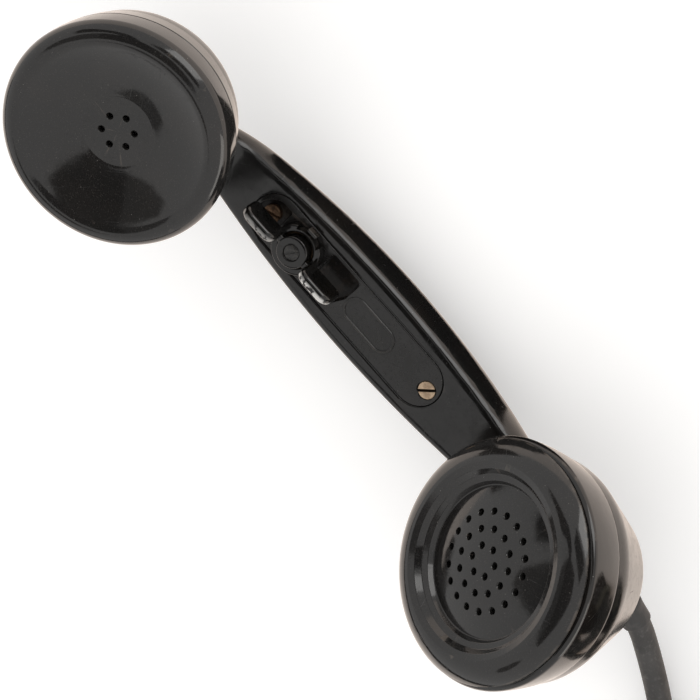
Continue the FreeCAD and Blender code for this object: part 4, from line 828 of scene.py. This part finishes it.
def drilled(spots, top, depth, radius, flare):
    """Closed cutters for round holes with a broken edge; top gives the surface's height at a reach."""
    drills = []
    for reach, angle in spots:
        level = top(reach)
        drill = turned("drill", [(0, level - depth), (radius, level - depth), (radius, level - 1.6 * flare),
                                 (radius + flare * 0.4, level - flare * 0.7), (radius + flare, level + 0.01),
                                 (radius + flare, level + 2), (0, level + 2)], 32)
        angle = math.radians(angle)
        drills.append(shifted(drill, reach * math.cos(angle), reach * math.sin(angle)))
    return joined("drills", drills)


ear_dish = bow((25.6, 4.75), (10.3, 0.05), 38, -1, 24)
ear_profile = eased([(0, -1.8), (20.0, -1.8, 1.2), (22.3, 0.9, 0.6), (26.0, 0.9, 0.4), (26.0, -11.6, 0.2),
                     (27.7, -11.6, 0.2), (27.7, -5.6), (31.25, -5.6, 0.35), (31.8, -2.0)])
ear_profile += bow((32.1, 1.2), (28.4, 5.3), 4.6, 1, 18) + bow((28.4, 5.3), (25.6, 4.75), 4.6, 1, 10)
ear_profile += ear_dish + [(10.3, 0.05), (10.15, 0.02), (9.9, 0.0), (0, 0)]
ear_holes = drilled([(4.64, 39.3 + 60 * number) for number in range(6)], lambda reach: 0.0, 3.0, 0.9, 0.16)
ear_mesh = worked(turned("ear_cap_shell", ear_profile, 288), [("DIFFERENCE", ear_holes)])
cap_finish = phenolic("cap_phenolic", (0.0105, 0.0101, 0.0099), (0.017, 0.0150, 0.0138), 0.075, 0.3, 0.6)
dusty = cap_finish.between(cap_finish.noise(0.00035, 3), 0.60, 0.72)
cap_finish.colour_over(cap_finish.times(dusty, 0.12), (0.20, 0.18, 0.165))
cap_finish = cap_finish.done()
ear_shell = show("ear_cap_shell", moved(ear_mesh, ear_seat), cap_finish, 38)
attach(ear_shell, "ear_cap")
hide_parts("ear_cap")

# ---- Ear collar --------------------------------------------------------------------------------------
# A ring of the same phenolic as the moulding, slipped over the neck behind the cap. The cap holds it
# against the bowl's shoulder.

ear_ring = turned("ear_collar_ring", eased([(28.0, -12.55, 0.2), (29.5, -12.55, 0.35), (31.2, -5.85, 0.45),
                                            (28.0, -5.85, 0.2)]), 288)
collar_finish = phenolic("collar_phenolic", (0.005, 0.0048, 0.0046), (0.012, 0.009, 0.007), 0.10, 0.4, 0.6)
collar_finish = collar_finish.done()
ear_collar = show("ear_collar_ring", moved(ear_ring, ear_seat), collar_finish, 38)
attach(ear_collar, "handset")
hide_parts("ear_collar")

# ---- Mouth cap ---------------------------------------------------------------------------------------
# The transmitter's cap is of the same phenolic. Its face is a low dome drilled with 36 holes in three
# rings, set down inside two turned steps and a broad round shoulder.

dome_arc = 62.0
dome_crown = 1.4
dome_wall = 2.8


def dome_height(reach):
    """How high the dome's face is at a reach from its middle, in millimetres."""
    return dome_crown - dome_arc + math.sqrt(dome_arc ** 2 - reach ** 2)


mouth_profile = [(0, dome_crown - dome_wall)]
mouth_profile += [(reach, dome_height(reach) - dome_wall) for reach in (4, 8, 12, 16, 19, 20.5)]
mouth_profile += eased([(20.5, dome_height(20.5) - dome_wall), (23.3, -3.4, 0.4), (27.0, -3.4, 0.4),
                        (27.0, -16.0, 0.2), (28.7, -16.0, 0.2), (28.7, -3.0), (32.85, -3.0, 0.35),
                        (33.0, -2.2)])[1:]
mouth_profile += bow((33.0, -2.2), (26.9, 1.95), 8.5, 1, 20)
mouth_profile += eased([(28.5, 1.6), (26.4, 2.0, 0.5), (24.5, 1.45, 0.35), (23.2, -0.2, 0.45),
                        (21.5, -0.6, 0.3), (20.6, -2.05, 0.3), (19.5, dome_height(19.5))])[1:-1]
mouth_profile += [(20.4 * (1 - step / 20), dome_height(20.4 * (1 - step / 20))) for step in range(21)]
mouth_spots = []
for count, reach, angle in ((6, 4.24, 36.8), (12, 8.84, 8.0), (18, 13.44, 18.7)):
    mouth_spots += [(reach, angle + 360 / count * number) for number in range(count)]
mouth_holes = drilled(mouth_spots, dome_height, 6.8, 0.92, 0.2)
mouth_mesh = worked(turned("mouth_cap_shell", mouth_profile, 288), [("DIFFERENCE", mouth_holes)])
mouth_shell = show("mouth_cap_shell", moved(mouth_mesh, mouth_seat), cap_finish, 38)
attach(mouth_shell, "mouth_cap")
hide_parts("mouth_cap")

# ---- Mouth collar ------------------------------------------------------------------------------------
# A deeper ring of the same phenolic, with a rounded lip at the top and a softly bowed side. It is slipped
# over the neck and held by the cap, as at the ear.

mouth_ring = [(29.0, -16.95), (31.3, -16.95)] + bow((31.55, -16.7), (33.9, -5.2), 60, 1, 16)
mouth_ring += bow((33.9, -5.2), (32.6, -3.25), 1.75, 1, 10) + [(32.6, -3.25), (29.0, -3.25)]
mouth_collar = show("mouth_collar_ring", moved(turned("mouth_collar_ring", mouth_ring, 288), mouth_seat),
                    collar_finish, 38)
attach(mouth_collar, "handset")
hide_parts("mouth_collar")

# ---- Cover plate -------------------------------------------------------------------------------------
# A phenolic plate let flush into the grip closes the switch bay. Two pockets leave room for the key's wings,
# their floors given less shine as painted shade, and browned with grease in patches and dusty. A lug beside
# the hub stops the key, and a low raised frame marks the bare place for a label.

key_x = -25.25


def ring_bar(name, outer, inner, low, high, rounding):
    """A raised band between two loops with the same number of points."""
    count = len(outer)
    points = [(x, y, low) for x, y in outer] + [(x, y, high - rounding) for x, y in outer]
    for edge, other in ((outer, inner), (inner, outer)):
        points += [(*Vector(near).lerp(Vector(far), 0.125), high) for near, far in zip(edge, other)]
    points += [(x, y, high - rounding) for x, y in inner] + [(x, y, low) for x, y in inner]
    faces = tube_faces(6, count, False)
    for side in range(count):
        after = (side + 1) % count
        faces.append((5 * count + side, 5 * count + after, after, side))
    return made(name, points, faces)


plate_blank = slab("plate", stadium(-42.4, 30.6, 7.6), -4.0, 0.0, 0, 0.3)
frame_band = ring_bar("frame", stadium(-5.95, 12.35, 3.95), stadium(-5.2, 11.6, 3.2), -0.3, 0.27, 0.12)
ear_pocket = eased([(-33.05, -6.5, 0.8), (-33.05, 5.4, 0.8)] + bow((-36.8, 5.4), (-41.3, 0.0), 6.5, 1, 8)
                   + [(-41.3, 0.0)] + bow((-41.3, -2.0), (-36.8, -6.5), 6.5, 1, 8) + [(-36.8, -6.5)])
mouth_pocket = eased([(-17.45, -6.5, 0.8), (-9.45, -6.5, 1.5), (-6.45, 0.0, 2.0), (-6.45, 6.5, 1.2),
                      (-17.45, 6.5, 0.8)])
plate_cuts = [("UNION", frame_band)]
lug = slab("lug", [(key_x - 1.6, 6.4), (key_x + 1.6, 6.4), (key_x + 1.6, 7.45), (key_x - 1.6, 7.45)],
           -0.5, 2.7, 0, 0.3)
plate_cuts.append(("UNION", lug))
for pocket in (ear_pocket, mouth_pocket):
    plate_cuts.append(("DIFFERENCE", slab("pocket", pocket, -2.2, 0.0, 0.5, -0.25, 1.0)))
spindle_hole = [(2.1, -0.3), (2.4, 0), (2.4, 1), (0, 1)]
sunk_head = [(1.45, -1.6), (2.75, -1.6), (2.75, -0.15), (2.95, 0), (2.95, 1), (0, 1)]
plain_hole = [(1.45, -2.2), (1.45, 1), (0, 1)]
block_x = key_x + 14
block_hole = [(0.85, -3.2), (0, -3.2)]
for x, radius, rest_of_hole, sides in (
        (key_x, 2.1, spindle_hole, 64), (mouth_screw_x, 1.45, sunk_head, 64),
        (ear_screw_x, 1.45, plain_hole, 64), (block_x - 3.25, 0.85, block_hole, 24),
        (block_x + 3.25, 0.85, block_hole, 24)):
    hole = turned("hole", [(0, -5), (radius, -5)] + rest_of_hole, sides)
    plate_cuts.append(("DIFFERENCE", shifted(hole, x)))
plate_finish = phenolic("plate_phenolic", (0.007, 0.0065, 0.0062), (0.014, 0.011, 0.009), 0.20, 0.5, 0.4)
# painted shade: the pocket floors, below the plate's top, are given less shine so that they look dark
sunk_shade_and_grease = plate_finish.between(plate_finish.axes()["Z"], 0.0221, 0.0208)
plate_finish.dulled(sunk_shade_and_grease, 0.14)
greasy = plate_finish.between(plate_finish.noise(0.0024, 4), 0.5, 0.66, 0, 0.5)
plate_finish.colour_over(plate_finish.times(sunk_shade_and_grease, greasy), (0.016, 0.012, 0.009))
plate_cover = show("cover_plate", moved(worked(plate_blank, plate_cuts), face_seat), plate_finish.done(), 35)
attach(plate_cover, "handset")
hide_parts("switch_plate")

# ---- Plate screws ------------------------------------------------------------------------------------
# Two cheese-head brass screws hold the plate. The one at the mouth is coloured darker and duller towards the
# bottom of its slot, and the one in the pocket has gone brown.


def brass(name, colour, dark, roughness, tarnish):
    """Turned brass: tool rings and brown tarnish in patches."""
    finish = Recipe(name, colour, roughness, 1.0)
    patch = finish.times(finish.between(finish.noise(0.0016, 5), 0.42, 0.62), tarnish)
    finish.colour_over(patch, dark)
    finish.roughness_over(patch, roughness + 0.25)
    fleck = finish.between(finish.noise(0.0004, 4), 0.55, 0.68)
    finish.colour_over(finish.times(fleck, 0.5 * tarnish), (0.09, 0.06, 0.04))
    finish.raised(finish.noise(0.0005, 4), 0.00001)
    finish.raised(finish.noise(1.0, 2, finish.stretched((0.00008, 0.004, 0.004), (0, 0, 40))), 0.000006)
    return finish


def slotted_screw(name, head, head_thick, shank, length, slot_turn, slot_wide=0.8, slot_deep=0.75):
    """A screw whose head's top is at height 0, with its slot cut at a turn about its axis."""
    body = turned(name, eased([(0, -head_thick - length), (shank, -head_thick - length, 0.2),
                               (shank, -head_thick), (head, -head_thick), (head, -0.05, 0.18),
                               (head * 0.5, 0.0), (0, 0.02)], 4), 96)
    half = slot_wide / 2
    cutter = slab("slot", [(-head - 1, -half), (head + 1, -half), (head + 1, half), (-head - 1, half)],
                  -slot_deep, 0.02, 0.08, -0.1, 1)
    cutter.transform(Matrix.Rotation(math.radians(slot_turn), 4, "Z"))
    return worked(body, [("DIFFERENCE", cutter)])


plate_brass = brass("plate_brass", (0.62, 0.47, 0.33), (0.24, 0.16, 0.11), 0.42, 0.45)
# the screw is coloured darker and duller from a little below its top downward, which darkens its slot
slot_darker_low = plate_brass.between(plate_brass.axes()["Z"], 0.02222, 0.02208)
plate_brass.colour_over(slot_darker_low, (0.045, 0.034, 0.025))
plate_brass.roughness_over(slot_darker_low, 0.85)
plate_brass = plate_brass.done()
old_brass = brass("old_brass", (0.17, 0.105, 0.065), (0.05, 0.032, 0.022), 0.5, 0.9).done()
for name, node, x, top, turn, finish in (
        ("screw_at_mouth", "plate_screw_mouth", mouth_screw_x, -0.03, 50, plate_brass),
        ("screw_at_ear", "plate_screw_ear", ear_screw_x, -0.6, 20, old_brass)):
    screw = shifted(slotted_screw(name, 2.58, 1.55, 1.25, 5.0, turn), x, 0, top)
    screw = show(name, moved(screw, face_seat), finish)
    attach(screw, "handset")
    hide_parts(node)

# ---- Talk key ----------------------------------------------------------------------------------------
# The key is one moulding of glossy phenolic: a hub with a ring round it and two wings for finger and
# thumb, with a painted highlight in pale patches along one side of their top edges. A gap in the ring turns
# against the plate's lug, and its ends are shaped as pointers.

key_seat = Matrix.Translation((key_x / 1000, 0, face_level / 1000))
hub_profile = eased([(1.85, 0.3), (7.3, 0.3, 0.2), (7.3, 3.2, 0.35), (5.2, 3.2, 0.35), (5.2, 1.2, 0.2),
                     (4.6, 1.2, 0.2), (4.6, 5.6, 0.35), (2.45, 5.6, 0.12), (2.45, 4.0), (1.85, 4.0)], 4)
hub = turned("hub", hub_profile, 160)
wing_loop = eased([(5.3, 2.0), (17.4, 2.0, 1.8), (17.4, 10.5, 3.6), (5.3, 10.5, 3.4)], 8)
key_steps = []
for turn in (0, math.pi):
    wing = slab("wing", wing_loop, -1.5, 1.5, 1.15, 1.15, steps=6)
    web = slab("web", [(3.6, 2.5), (6.6, 2.5), (6.6, 5.2), (3.6, 5.2)], -1.0, 1.0, 0.3, 0.3)
    for tool in (wing, web):
        tool.transform(Matrix.Rotation(turn, 4, "Z") @ Matrix.Rotation(math.pi / 2, 4, "X"))
        key_steps.append(("UNION", tool))
inner_gap, outer_gap = math.radians(40), math.radians(31.5)
outer_turns = np.linspace(outer_gap, -outer_gap, 13)
inner_turns = np.linspace(-inner_gap, inner_gap, 13)
gap_loop = [(9.0 * math.sin(turn), 9.0 * math.cos(turn)) for turn in outer_turns]
gap_loop += [(6.1 * math.sin(turn), 6.1 * math.cos(turn)) for turn in inner_turns]
key_steps.append(("DIFFERENCE", slab("gap", gap_loop, 0.1, 3.4)))
key_shape = worked(hub, key_steps)
key_finish = phenolic("key_phenolic", (0.004, 0.0038, 0.0036), (0.008, 0.0065, 0.005), 0.06, 0.25, 0.25)
key_places = key_finish.axes()
# painted highlight: pale, less glossy patches on the upward faces of the wings' top edges, on the -Y side
# only
painted_highlight = key_finish.between(key_finish.axes(key_finish.place.node.outputs["Normal"])["Z"], 0.15, 0.5)
for share in (key_finish.between(key_places["Z"], 0.0285, 0.0292),
              key_finish.between(key_finish.noise(0.0017, 3), 0.40, 0.50),
              key_finish.between(key_places["Y"], 0.0006, -0.0002),
              key_finish.between(key_places["X"], -0.028, -0.020, 0.4, 1)):
    painted_highlight = key_finish.times(painted_highlight, share)
key_finish.colour_over(painted_highlight, (0.60, 0.59, 0.57))
key_finish.roughness_over(painted_highlight, 0.3)
talk_key = show("talk_key_wings", moved(key_shape, key_seat), key_finish.done(), 35)
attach(talk_key, "key")
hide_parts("talk_key")

# ---- Key bearing -------------------------------------------------------------------------------------
# A brass ring lies in the hub's groove. A steel spindle runs down through the plate, with a crank at its
# foot, and a blackened screw holds the hub on it. A wire spring brings the key back.


def dress(names, finish):
    """Gives CAD nodes whose shape is right a finish."""
    for name in names:
        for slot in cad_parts[name].material_slots:
            slot.material = finish


def metal(name, colour, dark, roughness, worn):
    """Plain metal: faint clouds, darker spots and fine working marks."""
    spot = 0.0006
    finish = Recipe(name, colour, roughness, 1.0)
    finish.clouds(dark, 0.004, 4, 0.4, 0.7, worn)
    finish.roughness_over(finish.between(finish.noise(2 * spot, 4), 0.45, 0.7, 0, 0.7), roughness + 0.2)
    finish.clouds(dark, spot, 3, 0.62, 0.7, 0.5 * worn)
    finish.raised(finish.noise(spot, 3), 0.000008)
    return finish.done()


key_blackened = Recipe("key_blackened", (0.012, 0.0115, 0.011), 0.24, 0.0)
key_blackened.clouds((0.030, 0.027, 0.023), 0.0007, 4, 0.5, 0.65, 0.7)
key_blackened.raised(key_blackened.noise(0.0004, 3), 0.00001)
hub_screw = shifted(slotted_screw("hub_screw", 2.3, 1.5, 0.9, 3.4, 62, 0.35, 0.12), 0, 0, 5.5)
hub_screw = show("hub_screw", moved(hub_screw, key_seat), key_blackened.done())
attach(hub_screw, "key")
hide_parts("key_screw")

spindle_steel = metal("spindle_steel_worn", (0.50, 0.49, 0.47), (0.20, 0.17, 0.14), 0.32, 0.6)
spring_steel = metal("spring_steel_dark", (0.30, 0.29, 0.28), (0.12, 0.09, 0.07), 0.36, 0.5)
ring_brass = brass("ring_brass", (0.20, 0.14, 0.08), (0.05, 0.035, 0.02), 0.42, 0.5).done()
dress(["key_spindle"], spindle_steel)
dress(["key_return_spring"], spring_steel)
dress(["key_ring"], ring_brass)

# ---- Contacts ----------------------------------------------------------------------------------------
# Under the plate a grey fibre slide runs in the rails of a moulded block and presses two brass leaves.
# Two small brass screws hold the block.

slide_fibre = Recipe("slide_fibre", (0.22, 0.19, 0.16), 0.62)
slide_fibre.clouds((0.14, 0.11, 0.09), 0.0018, 5, 0.4, 0.65, 0.7)
slide_fibre.raised(slide_fibre.noise(1.0, 3, slide_fibre.stretched((0.004, 0.0002, 0.0002))), 0.00003)
dress(["contact_slide"], slide_fibre.done())
block_brown = Recipe("block_brown", (0.085, 0.040, 0.022), 0.40)
block_brown.clouds((0.045, 0.022, 0.014), 0.0014, 5, 0.4, 0.65, 0.8)
block_brown.roughness_over(block_brown.between(block_brown.noise(0.003, 4), 0.45, 0.7), 0.6)
block_brown.raised(block_brown.noise(0.0005, 4), 0.00002)
block_brown = block_brown.done()
dress(["contact_block", "ear_terminal_disc", "mouth_terminal_disc"], block_brown)
leaf_brass = metal("leaf_brass", (0.62, 0.47, 0.25), (0.30, 0.19, 0.10), 0.30, 0.5)
dress(["contact_leaf_1", "contact_leaf_2", "ear_contact_spring_1", "ear_contact_spring_2",
       "mouth_contact_spring_1", "mouth_contact_spring_2", "block_screw_1", "block_screw_2"], leaf_brass)

# ---- Capsules ----------------------------------------------------------------------------------------
# The receiver is a steel can with a ring magnet, a yoke and two wound coils under an iron diaphragm. The
# transmitter's can holds a brass cup of carbon grains. A rubber ring seals each one under its cap.

can_metal = metal("can_metal", (0.58, 0.56, 0.53), (0.32, 0.29, 0.25), 0.34, 0.5)
dress(["receiver_case", "transmitter_case"], can_metal)
dress(["receiver_diaphragm", "transmitter_diaphragm"],
      metal("diaphragm_iron", (0.24, 0.23, 0.23), (0.10, 0.08, 0.07), 0.45, 0.6))
dress(["receiver_magnet"], metal("magnet_steel", (0.26, 0.25, 0.25), (0.12, 0.10, 0.09), 0.5, 0.6))
dress(["receiver_poles"], metal("pole_iron_grey", (0.42, 0.41, 0.40), (0.20, 0.17, 0.14), 0.42, 0.6))
dress(["carbon_chamber"], leaf_brass)
coil_thread = Recipe("coil_thread", (0.24, 0.075, 0.030), 0.42)
coil_thread.clouds((0.13, 0.04, 0.02), 0.0009, 4, 0.4, 0.65, 0.8)
wound = coil_thread.stretched((0.02, 0.02, 0.00022))
coil_thread.raised(coil_thread.noise(1.0, 1, wound), 0.00008)
dress(["receiver_coil_1", "receiver_coil_2"], coil_thread.done())
seal_rubber = Recipe("seal_rubber_black", (0.028, 0.027, 0.027), 0.68)
seal_rubber.clouds((0.07, 0.068, 0.065), 0.002, 4, 0.45, 0.7, 0.7)
seal_rubber.raised(seal_rubber.noise(0.0006, 4), 0.00003)
dress(["ear_seal_ring", "mouth_seal_ring"], seal_rubber.done())

# ---- Wires and cord cores ----------------------------------------------------------------------------
# Two rubber-covered wires run to each bowl through the grip. The cord's two cores end behind the
# transmitter, and a crimped ferrule keeps the cord from pulling out.


def wire_cover(name, colour):
    """Coloured rubber, darkened and dulled in patches."""
    cover = Recipe(name, colour, 0.5)
    cover.clouds(tuple(part * 0.55 for part in colour), 0.002, 4, 0.4, 0.7, 0.5)
    cover.roughness_over(cover.between(cover.noise(0.001, 4), 0.4, 0.7), 0.7)
    cover.raised(cover.noise(0.0005, 3), 0.00002)
    return cover.done()


red_cover = wire_cover("wire_red", (0.26, 0.030, 0.022))
dark_cover = wire_cover("wire_dark", (0.035, 0.034, 0.033))
dress(["ear_wire_1", "mouth_wire_1", "cord_core_1"], red_cover)
dress(["ear_wire_2", "mouth_wire_2", "cord_core_2"], dark_cover)
dress(["cord_ferrule"], leaf_brass)

# ---- Plug --------------------------------------------------------------------------------------------
# A round four-pin plug of black phenolic with a ribbed shell. A knurled nut clamps the cord in its back,
# and the pins are turned brass with rounded tips.

plug_start = Vector(tail_route[-1])
plug_heading = (plug_start - Vector(tail_route[-2])).normalized()
plug_seat = (Matrix.Translation(plug_start)
             @ Matrix.Rotation(math.pi / 2, 4, Vector((-plug_heading.y, plug_heading.x, 0))))


def ribbed(name, profile, low, high, core, ribs, depth):
    """A turned shape with grooves along its axis, between two heights and outside a core's radius."""
    points_per_rib = 6
    shape = turned(name, profile, ribs * points_per_rib)
    for vertex in shape.vertices:
        out = math.hypot(vertex.co.x, vertex.co.y)
        if low < vertex.co.z < high and out > core:
            wave = math.cos(math.atan2(vertex.co.y, vertex.co.x) * ribs)
            shrink = 1 - depth * (0.5 - 0.5 * wave) ** 2 / out
            vertex.co.x *= shrink
            vertex.co.y *= shrink
    return shape


plug_finish = phenolic("plug_phenolic_black", (0.014, 0.013, 0.013), (0.026, 0.021, 0.018), 0.26, 0.6, 0.8)
plug_finish = plug_finish.done()
shell_profile = eased([(0, 12.05), (10.6, 12.05, 0.6), (11.6, 13.2, 0.5), (11.6, 14.6), (11.6, 31.0),
                       (11.6, 32.0, 0.4), (13.0, 32.0, 0.5), (13.0, 38.0, 0.7), (11.6, 38.0, 0.2),
                       (11.6, 37.6, 0.1), (0, 37.6)])
shell = ribbed("plug_shell", shell_profile, 14.0, 31.5, 11.0, 36, 0.45)
pin_places = ((7, 0), (0, 7), (-7, 0), (0, -7))
sockets = []
for x, y in pin_places:
    socket = turned("socket", [(0, 32), (1.6, 32), (1.6, 37.3), (2.5, 37.7), (2.5, 40), (0, 40)], 32)
    sockets.append(shifted(socket, x, y))
shell = show("plug_shell", moved(worked(shell, [("DIFFERENCE", joined("sockets", sockets))]), plug_seat),
             plug_finish, 35)
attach(shell, "handset")
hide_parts("plug_body")

nut_profile = eased([(3.6, 0.0), (5.2, 0.0, 0.3), (6.6, 1.0, 0.4), (9.0, 3.4, 0.5), (9.0, 5.0), (9.0, 10.6),
                     (9.0, 11.95, 0.5), (3.6, 11.95)])
nut_shape = ribbed("plug_clamp_nut", nut_profile, 3.6, 11.4, 8.0, 40, 0.5)
nut = show("plug_clamp_nut", moved(nut_shape, plug_seat), plug_finish, 35)
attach(nut, "handset")
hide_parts("plug_nut")

pin_brass = brass("pin_brass_bright", (0.66, 0.51, 0.28), (0.30, 0.20, 0.11), 0.28, 0.35).done()
for number, (x, y) in enumerate(pin_places, 1):
    pin = turned("pin_%d" % number, eased([(0, 32.1), (1.4, 32.1), (1.4, 38.6), (2.0, 38.6, 0.2),
                                           (2.0, 52.0, 1.2), (0, 52.0)]), 48)
    split = slab("split", [(-2.6, -0.2), (2.6, -0.2), (2.6, 0.2), (-2.6, 0.2)], 43.0, 54.0)
    pin = shifted(worked(pin, [("DIFFERENCE", split)]), x, y)
    pin = show("plug_contact_%d" % number, moved(pin, plug_seat), pin_brass)
    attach(pin, "handset")
    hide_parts("plug_pin_%d" % number)

# ---- Cord tie ----------------------------------------------------------------------------------------
# A strap of woven cotton holds the coil. It goes round the turns, and its end is stitched down on top
# with two rows of thread.

tie_seat = (Matrix.Translation(coil_centre) @ Matrix.Rotation(math.radians(150), 4, "Z")
            @ Matrix.Rotation(math.pi / 2, 4, "X"))
strap_outer = eased([(23.6, 0.02, 3.2), (48.4, 0.02, 3.2), (48.4, 14.5, 3.8), (23.6, 14.5, 3.8)], 8)
strap_inner = eased([(24.1, 0.5, 2.7), (47.9, 0.5, 2.7), (47.9, 14.02, 3.3), (24.1, 14.02, 3.3)], 8)
strap = ring_bar("strap", strap_outer, strap_inner, -3.9, 3.9, 0.12)
strap_end = slab("strap_end", [(29.0, 14.4), (40.0, 14.4), (40.0, 14.78), (29.0, 14.78)], -3.8, 3.8,
                 0.1, 0.1, steps=2)
stitches = []
for row in range(2):
    for number in range(9):
        stitch = slab("stitch", [(-0.45, 14.7), (0.45, 14.7), (0.4, 14.84), (-0.4, 14.84)], -0.14, 0.14)
        stitches.append(shifted(stitch, 30.2 + 1.05 * number, 0, (row - 0.5) * 6.2))
cotton = Recipe("strap_cotton", (0.20, 0.185, 0.14), 0.85)
cotton.clouds((0.13, 0.12, 0.09), 0.004, 4, 0.4, 0.7, 0.7)
tie_turned = (0, 0, 150)
for stretch in ((0.00035, 0.01, 0.01), (0.01, 0.00035, 0.01)):
    cotton.raised(cotton.noise(1.0, 1, cotton.stretched(stretch, tie_turned)), 0.0002)
cotton.colour_over(cotton.between(cotton.noise(1.0, 1, cotton.stretched((0.01, 0.0004, 0.01), tie_turned)),
                                  0.5, 0.7, 0, 0.5), (0.27, 0.25, 0.19))
tie_shape = joined("tie_strap", [strap, strap_end] + stitches)
tie = show("tie_strap", moved(tie_shape, tie_seat), cotton.done(), 40)
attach(tie, "handset")
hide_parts("cord_tie")
